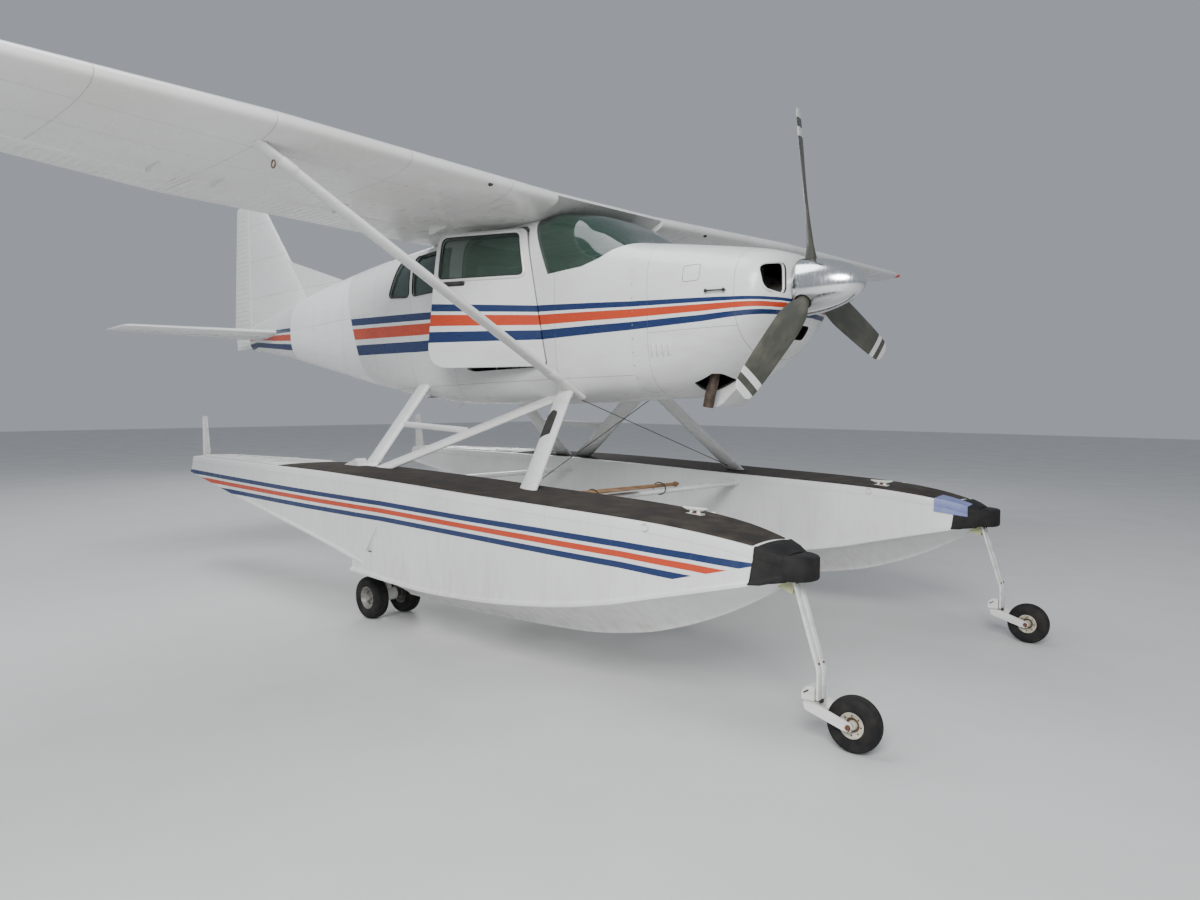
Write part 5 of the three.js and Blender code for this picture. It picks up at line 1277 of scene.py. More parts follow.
    # Bow cleat: a cast post and two horns, rusty where its bolt goes through
    cx, cy, top = CLEAT["x"], side * CLEAT["y"], CLEAT["top"]
    cleat = [tube("horn", [(cx + dx, cy, top - drop) for dx, drop, _ in HORN], [row[2] for row in HORN], 16)]
    for dx in (-0.022, 0.022):
        cleat.append(rod("cleat_post", (cx + dx, cy, 0.955), (cx + dx, cy, top - 0.009), 0.013, 20, 0.009))
    cleat.append(plain_box("cleat_foot", cx - 0.05, cx + 0.05, cy - 0.02, cy + 0.02, 0.95, 0.970))
    on_floats(joined(f"bow_cleat_{name}", *cleat), cast_white, "float_paint")
    on_floats(turned(f"cleat_bolt_{name}", BOLT, set_at(cx, cy, 0.968, -90), 24), rust, "gear_paint")

# Water rudders: alloy plates hinged on each transom, pulled up out of the way, with a pressed rib.
WATER_RUDDER = [(-4.735, 0.965, 0.02), (-4.625, 0.965, 0.02), (-4.592, 1.040, 0.02), (-4.650, 1.385, 0.02),
                (-4.735, 1.385, 0.02)]
for name, side in SIDES:
    y0 = side * FLOAT_Y
    parts = [hull_cut("rudder_plate", rounded(WATER_RUDDER, 6), y0, 0.005),
             pin("rudder_boss", FORK_EYE["x"], y0 - 0.0217, y0 + 0.0217, FORK_EYE["z"], 0.018, 32)]
    for y in (y0 + 0.005, y0 - 0.005):
        parts.append(tube("rudder_rib", [(-4.705, y, 1.03), (-4.700, y, 1.34)], 0.007, 12))
    rudder = joined(f"water_rudder_skin_{name}", *parts)
    on_floats(rudder, cast_white, "float_paint", f"water_rudder_{name}", body=f"water_rudder_{name}")

# Spreader bars: two streamlined tubes hold the floats apart. A wooden paddle is
# strapped on the front one.
SPREADERS = {"front": -0.120, "rear": -1.930}
SPREADER = {"z": 0.925, "chord": 0.088, "thick": 0.048}
PADDLE_X = -0.10
PADDLE_BLADE = [(-0.80, 0.018, 0.016), (-0.66, 0.040, 0.010), (-0.50, 0.074, 0.007), (-0.36, 0.082, 0.005),
                (-0.28, 0.066, 0.004)]
wood = worn("paddle_wood", (0.30, 0.17, 0.080), 0.55, (0.18, 0.095, 0.042), 9.0, 0.3)
for name, x in SPREADERS.items():
    z, chord, thick = SPREADER.values()
    bars = [faired_bar("bar", (x, -FLOAT_Y, z), (x, FLOAT_Y, z), chord, thick)]
    for way in (1, -1):
        bars.append(faired_bar("cuff", (x, way * (FLOAT_Y - 0.355), z), (x, way * (FLOAT_Y - 0.28), z),
                               chord + 0.014, thick + 0.012))
    on_floats(joined(f"spreader_skin_{name}", *bars), strut_paint, "white_paint", f"spreader_{name}")
shaft = [(PADDLE_X, -0.86, 0.972), (PADDLE_X, 0.10, 0.966)]
grip = [(PADDLE_X, y, 0.966) for y in (0.09, 0.12, 0.15)]
blade = [[(PADDLE_X + w * math.cos(a), y - 0.06, 0.970 + t * math.sin(a)) for a in full_turn(24)]
         for y, w, t in PADDLE_BLADE]
paddle = [tube("paddle_shaft", shaft, (0.015, 0.013), 16),
          tube("paddle_grip", grip, (0.012, 0.020, 0.011), 16),
          loft("paddle_blade", blade)]
on_floats(joined("paddle", *paddle), wood, "gear_paint")
straps = [ring_of("strap", (PADDLE_X, y, 0.947), 0.054, 0.004, 8, 24, 0.042 / 0.054) for y in (-0.74, -0.06)]
on_floats(joined("paddle_straps", *straps), black_rubber, "bumper_rubber")

# Wheels: smooth-treaded tyres with three grooves on cast rims in two halves, bolted together.
# The mains are pairs on one axle; each nose wheel turns in a caster fork.
MAIN_WHEEL = {"x": -1.668, "r": 0.150, "width": 0.104, "offset": 0.136, "rim": 0.076}
MAIN_AXLE = {"bearing": 0.026, "boss": 0.044, "bore": 0.0275, "half": 0.050, "collar": 0.038}
MAIN_LEG = {"head": (-1.790, 0.4696), "chord": 0.084, "thick": 0.062}
NOSE_WHEEL = {"x": 1.950, "r": 0.127, "width": 0.084, "rim": 0.056, "axle": 0.012}
GROOVES = (-0.22, 0.0, 0.22)
tyre_rubber = worn("tyre_rubber", (0.010, 0.010, 0.011), 0.8, (0.034, 0.031, 0.027), 14.0, 0.5, 0.0015,
                   Specular_IOR_Level=0.25)
rim_cream = worn("rim_cream", (0.60, 0.57, 0.47), 0.45, (0.33, 0.29, 0.22), 30.0, 0.25)
rim_grey = worn("rim_grey", (0.30, 0.30, 0.29), 0.5, (0.16, 0.14, 0.12), 30.0, 0.25, Metallic=0.4)
gear_steel = worn("gear_steel", (0.10, 0.075, 0.055), 0.6, (0.20, 0.11, 0.06), 50.0, 0.4, Metallic=0.6)
gear_paint = white_paint("gear_paint", grime=0.9, warm=0.05)
primer = worn("zinc_primer", (0.50, 0.52, 0.30), 0.6, (0.38, 0.38, 0.22), 20.0)


def tyre_profile(wheel):
    """Half of a tyre's section mirrored to the whole. Columns: along the axle, radius."""
    r, w, rim = wheel["r"], wheel["width"], wheel["rim"]
    half = [(0.36, rim + 0.0006), (0.42, rim + 0.003), (0.465, rim + 0.010)]
    half += [(h, r - drop) for h, drop in
             ((0.490, 0.042), (0.500, 0.032), (0.500, 0.030), (0.506, 0.029), (0.506, 0.026), (0.496, 0.024),
              (0.475, 0.0165), (0.435, 0.0105), (0.385, 0.0070), (0.340, 0.0050))]
    for h in (0.300, 0.255, 0.240, 0.239, 0.201, 0.200, 0.180, 0.120, 0.060, 0.0201, 0.020, 0.0):
        deep = any(abs(h - abs(groove)) <= 0.0195 for groove in GROOVES)
        half.append((h, r - 0.005 * (h / 0.34)**2 - (0.004 if deep else 0.0)))
    return [(-h * w, radius) for h, radius in half[:-1]] + [(h * w, radius) for h, radius in half[::-1]]


def drilled(made, holes, radius, around, x, y, z, reach):
    """Round holes right through a disc, evenly round its axle."""
    cutters = []
    for turn in full_turn(holes) + math.pi / holes:
        spot = (x + around * math.cos(turn), y - reach, y + reach, z + around * math.sin(turn))
        cutters.append(pin("hole", *spot, radius, 20))
    return carve(made, joined("holes", *cutters))


def nodes_tree(name, inputs):
    """A Geometry Nodes tree whose inputs are given as name and socket kind."""
    tree = bpy.data.node_groups.new(name, "GeometryNodeTree")
    tree.interface.new_socket("Geometry", in_out="INPUT", socket_type="NodeSocketGeometry")
    for label, kind in inputs:
        tree.interface.new_socket(label, in_out="INPUT", socket_type=f"NodeSocket{kind}")
    tree.interface.new_socket("Geometry", in_out="OUTPUT", socket_type="NodeSocketGeometry")
    return tree, tree.nodes.new("NodeGroupInput").outputs, tree.nodes.new("NodeGroupOutput").inputs[0]


def geometry_node(tree, kind, props=None, **inputs):
    prefix = "" if kind.startswith(("Function", "Shader")) else "GeometryNode"
    made = tree.nodes.new(prefix + kind)
    for key, value in (props or {}).items():
        setattr(made, key, value)
    for key, value in inputs.items():
        socket = made.inputs[key.replace("_", " ")]
        if isinstance(value, bpy.types.NodeSocket):
            tree.links.new(value, socket)
        else:
            socket.default_value = value
    return made.outputs[0]


def end_tree(tree, shapes, material, out_socket):
    """Every tree ends in real geometry with its material, because the export drops instances."""
    solid = geometry_node(tree, "RealizeInstances", Geometry=shapes)
    tree.links.new(geometry_node(tree, "SetMaterial", Geometry=solid, Material=material), out_socket)


def run_tree(made, tree, **values):
    """Applies a Geometry Nodes tree, its inputs set by their socket identifiers."""
    modifier = made.modifiers.new("repeats", "NODES")
    modifier.node_group = tree
    for item in tree.interface.items_tree:
        key = item.name.lower()
        if item.in_out == "INPUT" and key in values:
            modifier[item.identifier] = values[key]
    return lined(evaluated_mesh(made), values["material"])


# Bolt circles: hexagon heads evenly round a circle, facing along z
bolt_inputs = [("Count", "Int"), ("Around", "Float"), ("Size", "Float"), ("Height", "Float"),
               ("Material", "Material")]
bolt_tree, given, out_socket = nodes_tree("bolt_circle", bolt_inputs)
circle = geometry_node(bolt_tree, "MeshCircle", Vertices=given["Count"], Radius=given["Around"])
head = geometry_node(bolt_tree, "MeshCylinder", Vertices=6, Radius=given["Size"], Depth=given["Height"])
bolts = geometry_node(bolt_tree, "InstanceOnPoints", Points=circle, Instance=head)
end_tree(bolt_tree, bolts, given["Material"], out_socket)


def bolt_circle(count, around, size, height, material, matrix):
    """A ring of bolt heads, its axis turned to matrix's z."""
    made = mesh_object("bolt_circle", [], [])
    run_tree(made, bolt_tree, count=count, around=around, size=size, height=height, material=material)
    made.data.transform(matrix)
    return made


def finished(name, slot, *nodes, parts, **more):
    """Parts that keep their own materials, made one piece. Each is given with its material."""
    own = [part if material is None else lined(part, material) for part, material in parts]
    return fitted(joined(name, *own), None, slot, *nodes, **{"matrix": OVER_FLOOR, **more})


HUB_SIDE = [(0.0120, 0.026), (0.0120, 0.058), (0.030, 0.067), (0.0374, 0.0705), (0.0425, 0.074),
            (0.0425, 0.081),
            (0.0380, 0.081), (0.0374, 0.0765)]
HUB_PROFILE = [(0.040, 0.0), (0.044, 0.006), (0.044, 0.018), (0.041, 0.022), *HUB_SIDE]
HUB_PROFILE += [(-h, radius) for h, radius in HUB_SIDE[:0:-1]] + [(-0.0120, 0.030), (-0.044, 0.030),
                                                                  (-0.044, 0.0)]
DISC = [(0.0, 0.031), (0.0, 0.060), (0.0055, 0.060), (0.0055, 0.031)]
LEG_SIZES = ((0.10, 1.0), (0.30, 1.0), (0.55, 0.92), (0.97, 1.15))
for name, side in SIDES:
    y0 = side * FLOAT_Y
    x, r = MAIN_WHEEL["x"], MAIN_WHEEL["r"]
    turning = f"main_wheels_{name}"
    parts = [(pin("axle", x, y0 - 0.130, y0 + 0.130, r, MAIN_AXLE["bearing"], 32), gear_steel)]
    for which, way in (("inner", -side), ("outer", side)):
        middle = y0 + way * MAIN_WHEEL["offset"]
        on_axle = set_at(x, middle, r, 90, "Z")
        tyre = turned(f"main_tyre_skin_{name}_{which}", tyre_profile(MAIN_WHEEL), on_axle, 80, closed=True)
        on_floats(tyre, tyre_rubber, "tyre_rubber", f"main_tyre_{name}_{which}", body=turning)
        hub = turned("hub", [(way * h, radius) for h, radius in HUB_PROFILE], on_axle, 80)
        parts.append((drilled(hub, 8, 0.0088, 0.044, x, middle, r, 0.06), rim_grey))
        for h in (0.0135, -0.0135):
            face = set_at(x, middle + way * h, r, 90, "X") @ Matrix.Rotation(math.pi / 4, 4, "Z")
            parts.append((bolt_circle(8, 0.044, 0.0042, 0.005, gear_steel, face), None))
        on_disc = set_at(x, middle - way * 0.0375, r, 90, "Z")
        parts.append((turned("brake_disc", DISC, on_disc, 64, closed=True), dark_metal))
        collar = pin("collar", x, y0 + way * 0.0503, y0 + way * 0.070, r, MAIN_AXLE["collar"], 32)
        parts.append((collar, gear_steel))
    finished(f"main_axle_skin_{name}", "wheel_rim", f"main_axle_{name}", parts=parts, body=turning)
    hx, hz = MAIN_LEG["head"]
    boss = pin("boss", x, y0 - MAIN_AXLE["half"], y0 + MAIN_AXLE["half"], r, MAIN_AXLE["boss"], 40)
    leg = faired_bar("leg", (x, y0, r), (hx, y0, hz), MAIN_LEG["chord"], MAIN_LEG["thick"], LEG_SIZES)
    carve(leg, plain_box("over", WELL["back"], WELL["front"], y0 - 0.3, y0 + 0.3, hz, 0.8))
    carve(boss, leg, operation="UNION")
    carve(boss, pin("bore", x, y0 - 0.1, y0 + 0.1, r, MAIN_AXLE["bore"], 32))
    route = [(x - aft, y0 + side * out, z) for aft, out, z in
             ((0.052, 0.02, 0.14), (0.075, 0.034, 0.22), (0.12, 0.036, 0.33), (0.165, 0.036, 0.44))]
    leg = joined(f"main_leg_skin_{name}", boss, tube("brake_line", route, 0.0035, 8))
    on_floats(leg, gear_paint, "gear_paint", f"main_leg_{name}")

# Nose gear: two flat spring leaves lead from the bow down to a caster box, under which the fork
# turns on a disc. A primed rubber block sits behind the leaves, under the bumper.
CASTER = {"x": 1.752, "top": 0.262, "bottom": 0.196, "half": 0.046, "back": 0.044}
NOSE_LEG = {"head": (1.648, 0.735), "knee": (1.782, 0.336), "foot": (1.782, 0.200), "apart": 0.0215}
LEAF = {"half": 0.0165, "thick": 0.013}
FORK = {"in": 0.055, "out": 0.065}
FORK_SIDE = [(1.726, 0.193, 0.006), (1.795, 0.193, 0.010), (1.970, 0.141, 0.020), (1.966, 0.106, 0.020),
             (1.930, 0.106, 0.02), (1.735, 0.158, 0.012)]
LEG_BLOCK = [(1.562, 0.694), (1.562, 0.722), (1.640, 0.733), (1.652, 0.700), (1.645, 0.668)]
for name, side in SIDES:
    y0 = side * FLOAT_Y
    (hx, hz), (kx, kz), (fx, fz) = NOSE_LEG["head"], NOSE_LEG["knee"], NOSE_LEG["foot"]
    route = [(hx, hz), (kx - 0.010, kz + 0.030), (kx - 0.002, kz + 0.010), (kx, kz - 0.015), (fx, fz)]
    half, thick = LEAF["half"], LEAF["thick"] / 2
    parts = []
    for way in (1, -1):
        y = y0 + way * NOSE_LEG["apart"]
        rings = []
        for lx, lz in route:
            outline = rounded_box(lx - thick, lx + thick, y - half, y + half, 0.003, 3)
            rings.append([(u, v, lz) for u, v in outline])
        parts.append((loft("leaf", rings), gear_paint))
        for share in (0.04, 0.93):
            bx, bz = hx + (kx - hx) * share, hz + (kz - hz) * share
            parts.append((rod("leaf_bolt", (bx, y, bz), (bx + 0.011, y, bz + 0.0035), 0.0055, 6), gear_steel))
    low, high, half, back = CASTER["bottom"], CASTER["top"], CASTER["half"], CASTER["x"] - CASTER["back"]
    box = rounded([(back, low, 0.004), (1.772, low, 0.004), (1.772, high, 0.004), (back + 0.026, high, 0.010),
                   (back, high - 0.026, 0.010)], 5)
    # A dark insert fills the window in the box's side: painted shade inside it
    slot = [(back + aft, high - drop)
            for aft, drop in ((0.010, 0.030), (0.036, 0.014), (0.036, 0.022), (0.010, 0.040))]
    parts.append((hull_cut("caster_box", box, y0, half), gear_paint))
    parts.append((hull_cut("box_slot_shade", slot, y0, half + 0.0005), dark_metal))
    parts.append((hull_cut("leg_block", LEG_BLOCK, y0, 0.036), primer))
    finished(f"nose_leg_skin_{name}", "gear_paint", f"nose_leg_{name}", parts=parts)
    x, r, rim = NOSE_WHEEL["x"], NOSE_WHEEL["r"], NOSE_WHEEL["rim"]
    fork = []
    for way in (1, -1):
        ys = [y0 + way * FORK["in"], y0 + way * FORK["out"]]
        fork.append((across("fork_arm", rounded(FORK_SIDE, 6), *ys), gear_paint))
        fork.append((pin("axle_nut", x, ys[1], ys[1] + way * 0.008, r, 0.0135, 6), rust))
    fork.append((plain_box("crown", 1.728, 1.786, y0 - 0.0545, y0 + 0.0545, 0.166, 0.1935), gear_paint))
    disc = rod("caster_disc", (CASTER["x"], y0, low - 0.012), (CASTER["x"], y0, low - 0.0003), 0.040, 40)
    fork.append((disc, black_rubber))
    fork.append((pin("axle", x, y0 - 0.066, y0 + 0.066, r, NOSE_WHEEL["axle"]), gear_steel))
    finished(f"nose_fork_skin_{name}", "gear_paint", f"nose_fork_{name}", parts=fork, body=f"caster_{name}")
    turning = f"nose_wheel_{name}"
    on_axle = set_at(x, y0, r, 90, "Z")
    tyre = turned(f"nose_tyre_skin_{name}", tyre_profile(NOSE_WHEEL), on_axle, 80, closed=True)
    on_floats(tyre, tyre_rubber, "tyre_rubber", f"nose_tyre_{name}", body=turning)
    half = [(0.040, 0.0124), (0.040, 0.020), (0.017, 0.022), (0.014, 0.030), (0.020, 0.034), (0.027, 0.036),
            (0.031, 0.052), (0.035, rim - 0.002), (0.035, rim + 0.005), (0.031, rim + 0.005), (0.0302, rim)]
    rim_profile = half + [(-h, radius) for h, radius in half[::-1]]
    hub = [(turned("rim", rim_profile, on_axle, 80, closed=True), rim_cream)]
    for way in (1, -1):
        seal_ring = [(way * h, radius) for h, radius in
                     ((0.0165, 0.0215), (0.0165, 0.0325), (0.0195, 0.0325), (0.0195, 0.0215))]
        hub.append((turned("seal", seal_ring, on_axle, 48, closed=True), gear_steel))
        face = set_at(x, y0 + way * 0.0300, r, 90, "X")
        hub.append((bolt_circle(8, 0.0440, 0.0040, 0.005, gear_steel, face), None))
    finished(f"nose_hub_skin_{name}", "wheel_rim", f"nose_hub_{name}", parts=hub, body=turning)

# Cabin fittings: an instrument panel with a glare shield, two control wheels, two front seats on
# rails and a rear bench, trimmed in worn grey-brown cloth.
PANEL = {"back": -0.250, "front": -0.230, "half": 0.430, "low": 0.520, "high": 0.780}
INSTRUMENTS = [(y, z, 0.036) for z in (0.720, 0.630) for y in (0.12, 0.205, 0.29)]
INSTRUMENTS += [(y, 0.66, 0.026) for y in (-0.22, -0.28, -0.34)]
CONTROL_WHEEL = {"y": 0.260, "z": 0.640, "x": -0.520, "half": 0.150}
WHEEL_GRIP = ((-0.72, 0.82), (-0.97, 0.70), (-1.0, 0.25), (-0.85, -0.10), (-0.4, -0.22), (0.4, -0.22),
              (0.85, -0.10), (1.0, 0.25), (0.97, 0.70), (0.72, 0.82))
GLARE_SHIELD = [(-0.385, 0.772), (-0.385, 0.786), (-0.30, 0.812), (-0.065, 0.815), (-0.065, 0.800),
                (-0.30, 0.797)]
trim_black = worn("panel_trim", (0.030, 0.030, 0.032), 0.6, (0.06, 0.06, 0.058), 20.0)
dial_white = worn("dial_markings", (0.55, 0.55, 0.50), 0.5, (0.45, 0.44, 0.40), 40.0)
cloth, tree, shader = new_material("seat_cloth", (0.20, 0.17, 0.14), 0.92)
where = own_place(tree)
fade = ramp(tree, noise(tree, where, 5.0, 4.0), [(0.35, (0.19, 0.165, 0.135)), (0.7, (0.27, 0.24, 0.20))])
pleat = sums(tree, "MULTIPLY", node(tree, "SeparateXYZ", i0=where).outputs[1], math.pi / 0.07)
pleat = sums(tree, "ABSOLUTE", sums(tree, "SINE", pleat))
pleat = sums(tree, "ADD", pleat, sums(tree, "MULTIPLY", noise(tree, where, 380.0, 2.0), 0.12))
pleats = node(tree, "Bump", Strength=0.5, Distance=0.008, Height=pleat).outputs[0]
tree.links.new(fade, shader.inputs["Base Color"])
tree.links.new(pleats, shader.inputs["Normal"])
back, front, half, low, high = PANEL.values()
panel = [(plain_box("panel_board", back, front, -half, half, low, high), trim_black),
         (across("glare_shield", GLARE_SHIELD, -0.35, 0.35), trim_black)]


def off_panel(name, y, z, from_back, to_back, radius, sides, rise=(0, 0)):
    return rod(name, (back - from_back, y, z), (back - to_back, y + rise[0], z + rise[1]), radius, sides)


for y, z, radius in INSTRUMENTS:
    edge = radius * 0.86
    bezel = [(0.0, edge), (0.0, radius), (0.006, radius), (0.009, edge)]
    panel.append((turned("bezel", bezel, set_at(back, y, z, 180, "Z"), 40, closed=True), dark_metal))
    panel.append((off_panel("dial", y, z, 0.001, 0.003, edge, 40), black_rubber))
    needle = off_panel("needle", y, z, 0.0045, 0.0045, 0.0015, 8, (radius * 0.3, radius * 0.6))
    panel.append((needle, dial_white))
    marks = bolt_circle(12, radius * 0.72, 0.0018, 0.002, dial_white, set_at(back - 0.0035, y, z, 90))
    panel.append((marks, None))
for z, high in ((0.735, 0.030), (0.690, 0.040), (0.640, 0.045), (0.580, 0.045)):
    radio = plain_box("radio", back - 0.008, back + 0.002, -0.085, 0.055, z - high / 2, z + high / 2)
    panel.append((radio, dark_metal))
    for y in (-0.07, 0.04):
        panel.append((off_panel("knob", y, z, 0.008, 0.022, 0.007, 16), trim_black))
pedestal = [[(x, -0.06, z), (x, 0.06, z), (front, 0.06, z), (front, -0.06, z)]
            for x, z in ((-0.31, FLOOR_Z + 0.0003), (-0.275, 0.52))]
panel.append((loft("pedestal", pedestal), trim_black))
for y in (0.02, -0.02):
    panel.append((rod("lever", (-0.25, y, 0.50), (-0.325, y, 0.497), 0.004, 12), bright_metal))
    panel.append((rod("lever_knob", (-0.325, y, 0.497), (-0.347, y, 0.496), 0.012, 20), trim_black))
for side in (1, -1):
    y, z, x, half = CONTROL_WHEEL.values()
    y *= side
    panel.append((rod("column", (-0.26, y, z), (x + 0.008, y, z), 0.013), bright_metal))
    grip = [(x, y + half * u, z + 0.11 * v) for u, v in WHEEL_GRIP]
    panel.append((tube("control_wheel", grip, 0.012, 16), trim_black))
    boss = block("wheel_boss", x - 0.014, x + 0.014, y - 0.045, y + 0.045, z - 0.040, z + 0.022)
    panel.append((boss, trim_black))
finished("panel", "cabin_trim", "instrument_panel", parts=panel, matrix=AIRFRAME)


def cushion(name, outline, y0, y1, puff=0.018):
    """A stuffed cushion: its outline rounded, drawn in at both ends and swollen in the middle."""
    loop = np.array(rounded([(x, z, 0.035) for x, z in outline], 8))
    middle = loop.mean(0)
    rings = []
    for t in np.linspace(-1, 1, 25):
        scale = (1 - abs(t) ** 8) ** 0.35
        inset = 0.030 * (1 - scale)
        away = loop - middle
        length = np.linalg.norm(away, axis=1, keepdims=True)
        shaped = middle + away * (1 - inset / length) + away / length * puff * (1 - t**2) * 0.5
        rings.append([(x, (y0 + y1) / 2 + t * (y1 - y0) / 2, z) for x, z in shaped])
    return loft(name, rings)


def seat_set(name, node_name, x, spans):
    """The cushions and the frame of a seat or a pair of them."""
    base = [(x - 0.47, 0.235), (x - 0.01, 0.225), (x - 0.005, 0.325), (x - 0.47, 0.33)]
    back = [(x - 0.43, 0.350), (x - 0.505, 0.95), (x - 0.60, 0.95), (x - 0.515, 0.290)]
    frame_parts = []
    for k, (y0, y1) in enumerate(spans):
        for part, outline in (("cushion", base), ("back", back)):
            piece = cushion(f"{name}_{part}_{k}", outline, y0, y1)
            nodes = [node_name] if part == "cushion" and k == 0 else []
            fitted(piece, cloth, "seat_cloth", *nodes, angle=60)
        frame_parts.append(block("pan", x - 0.47, x - 0.02, y0 + 0.01, y1 - 0.01, 0.200, 0.232, radius=0.006))
        for y in (y0 + 0.05, y1 - 0.05):
            route = [(x - 0.49, y, 0.215), (x - 0.53, y, 0.32), (x - 0.565, y, 0.60), (x - 0.59, y, 0.80)]
            frame_parts.append(tube("back_tube", route, 0.011, 12))
            foot = FLOOR_Z + 0.0003
            for lx in (x - 0.06, x - 0.42):
                frame_parts.append(rod("seat_leg", (lx, y, foot), (lx, y, 0.205), 0.012, 16))
            rail = (x - 0.50, x + 0.02, y - 0.013, y + 0.013, foot, FLOOR_Z + 0.012)
            frame_parts.append(block("rail", *rail, radius=0.003))
    fitted(joined(f"{name}_frame", *frame_parts), bright_metal, "cabin_trim")


seat_set("front_seat", "front_seats", -0.960, [(0.06, 0.475), (-0.475, -0.06)])
seat_set("rear_bench", "rear_seat", -1.820, [(-0.425, 0.425)])

# Rivets and screws: low tapered heads along the seams of the floats, wings, tail and cowling, set by
# one Geometry Nodes tree along lines drawn on the skins, and painted over with them.
rivet_inputs = [("Pitch", "Float"), ("Size", "Float"), ("Height", "Float"), ("Material", "Material")]
rivet_tree, given, out_socket = nodes_tree("rivet_rows", rivet_inputs)
curve = geometry_node(rivet_tree, "MeshToCurve", Mesh=given["Geometry"])
spaced = geometry_node(rivet_tree, "ResampleCurve", {"mode": "LENGTH"}, Curve=curve, Length=given["Pitch"])
facing = geometry_node(rivet_tree, "InputNamedAttribute", {"data_type": "FLOAT_VECTOR"}, Name="out")
turned_out = geometry_node(rivet_tree, "FunctionNodeAlignRotationToVector", {"axis": "Z"}, Vector=facing)
narrower = geometry_node(rivet_tree, "ShaderNodeMath", {"operation": "MULTIPLY"}, Value=given["Size"])
narrower.node.inputs[1].default_value = 0.5
head = geometry_node(rivet_tree, "MeshCone", Vertices=8, Radius_Top=narrower, Radius_Bottom=given["Size"],
                     Depth=given["Height"])
rivets = geometry_node(rivet_tree, "InstanceOnPoints", Points=spaced, Instance=head, Rotation=turned_out)
end_tree(rivet_tree, rivets, given["Material"], out_socket)


def riveted(name, lines, pitch, size, material, height=0.0016):
    """Rivet heads along lines of points, each line given as its points and the way out of the skin."""
    points = np.concatenate([line[0] for line in lines])
    outs = np.concatenate([line[1] for line in lines]).astype(np.float32)
    ends = np.cumsum([len(line[0]) for line in lines])
    edges = [(i, i + 1) for i in range(len(points) - 1) if i + 1 not in ends]
    mesh = bpy.data.meshes.new(name)
    mesh.from_pydata(points.tolist(), edges, [])
    mesh.attributes.new("out", "FLOAT_VECTOR", "POINT").data.foreach_set("vector", outs.ravel())
    made = bpy.data.objects.new(name, mesh)
    bpy.context.scene.collection.objects.link(made)
    return run_tree(made, rivet_tree, pitch=pitch, size=size, height=height, material=material)


def hull_side(x, share, y0, way):
    """A point up a float's side wall, and the way out of it."""
    row = eased(FOREBODY if x > STEP_X else AFTERBODY, x)
    foot = np.array((row[4], row[2] + 0.024))
    head = np.array((row[6] + 0.008, row[5] - 0.054))
    at, along = foot + (head - foot) * share, head - foot
    return (x, y0 + way * at[0], at[1]), (0.0, way * along[1], -along[0])


def line_of(pairs):
    points, outs = zip(*pairs)
    return np.array(points, float), np.array(outs, float)


def wing_spot(y, share, way, side):
    """A point on a wing's upper (1) or lower (-1) face, and the way out of it."""
    lead, chord, tilt, size = wing_row(y)
    face = faces_of(size, chord, 0.0008, size)[0 if way > 0 else 1]
    aft = np.array([share * chord, share * chord + 0.004])
    up = np.interp(aft, face[:, 0], face[:, 1])
    c, s = math.cos(math.radians(tilt)), math.sin(math.radians(tilt))
    z = WING_ROOT_Z + math.tan(DIHEDRAL) * max(0.0, y - WING_ROOT_Y)
    x = lead - (aft * c + up * s)
    high = z + up * c - aft * s
    slope = (high[1] - high[0]) / (x[1] - x[0])
    return (x[0], side * y, high[0]), (-way * slope, 0.0, way)


def body_rows(x, count=96):
    ring = np.asarray(fuselage_ring(x, 0.0, count), float)
    outs = np.cross(np.roll(ring, -1, 0) - np.roll(ring, 1, 0), (1.0, 0.0, 0.0))
    outs *= np.sign((outs * (ring - ring.mean(0))).sum(1))[:, None]
    return ring, outs / np.linalg.norm(outs, axis=1)[:, None]


def closed_row(x):
    """A line round the body at one station, ended where it began."""
    return [np.vstack([part, part[:1]]) for part in body_rows(x)]


WING_RIBS = (0.98, 1.36, 1.75, 2.16, 2.57, 3.0, 3.4, 3.8, 4.2, 4.7, 5.2)
for name, side in SIDES:
    y0 = side * FLOAT_Y
    lines = []
    for way in (1, -1):
        for share in (0.0, 1.0):
            for x0, x1 in ((1.49, STEP_X + 0.02), (STEP_X - 0.02, -4.54)):
                lines.append(line_of([hull_side(x, share, y0, way) for x in np.linspace(x0, x1, 40)]))
        for x in BULKHEADS:
            lines.append(line_of([hull_side(x + 0.006, share, y0, way)
                                  for share in np.linspace(0.04, 0.96, 6)]))
    heads = riveted(f"float_rivets_{name}", lines, 0.042, 0.0032, float_paint)
    keep_drawn(heads, "hull", y0, side)
    on_floats(heads, None, "float_paint")
    lines = []
    for way in (1, -1):
        for y in WING_RIBS:
            lines.append(line_of([wing_spot(y, share, way, side) for share in np.linspace(0.03, 0.69, 24)]))
        for share in (0.09, 0.27, 0.45, 0.70):
            lines.append(line_of([wing_spot(y, share, way, side) for y in np.linspace(0.62, 5.2, 40)]))
    fitted(riveted(f"wing_rivets_{name}", lines, 0.048, 0.0030, wing_paint, 0.0012), None, "white_paint")
lines = [closed_row(x) for x in (-3.03, -3.55, -4.1, -4.65, -5.2, -5.7, -6.07)]
along = [body_rows(x) for x in np.linspace(-3.05, -6.06, 40)]
for k in range(4, 96, 16):
    lines.append([np.array([row[part][k] for row in along]) for part in (0, 1)])
fitted(riveted("tail_rivets", lines, 0.040, 0.0030, tail_paint, 0.0012), None, "white_paint")
fitted(riveted("cowl_screws", [closed_row(0.020)], 0.085, 0.0052, bright_metal, 0.0014), None, "white_paint")
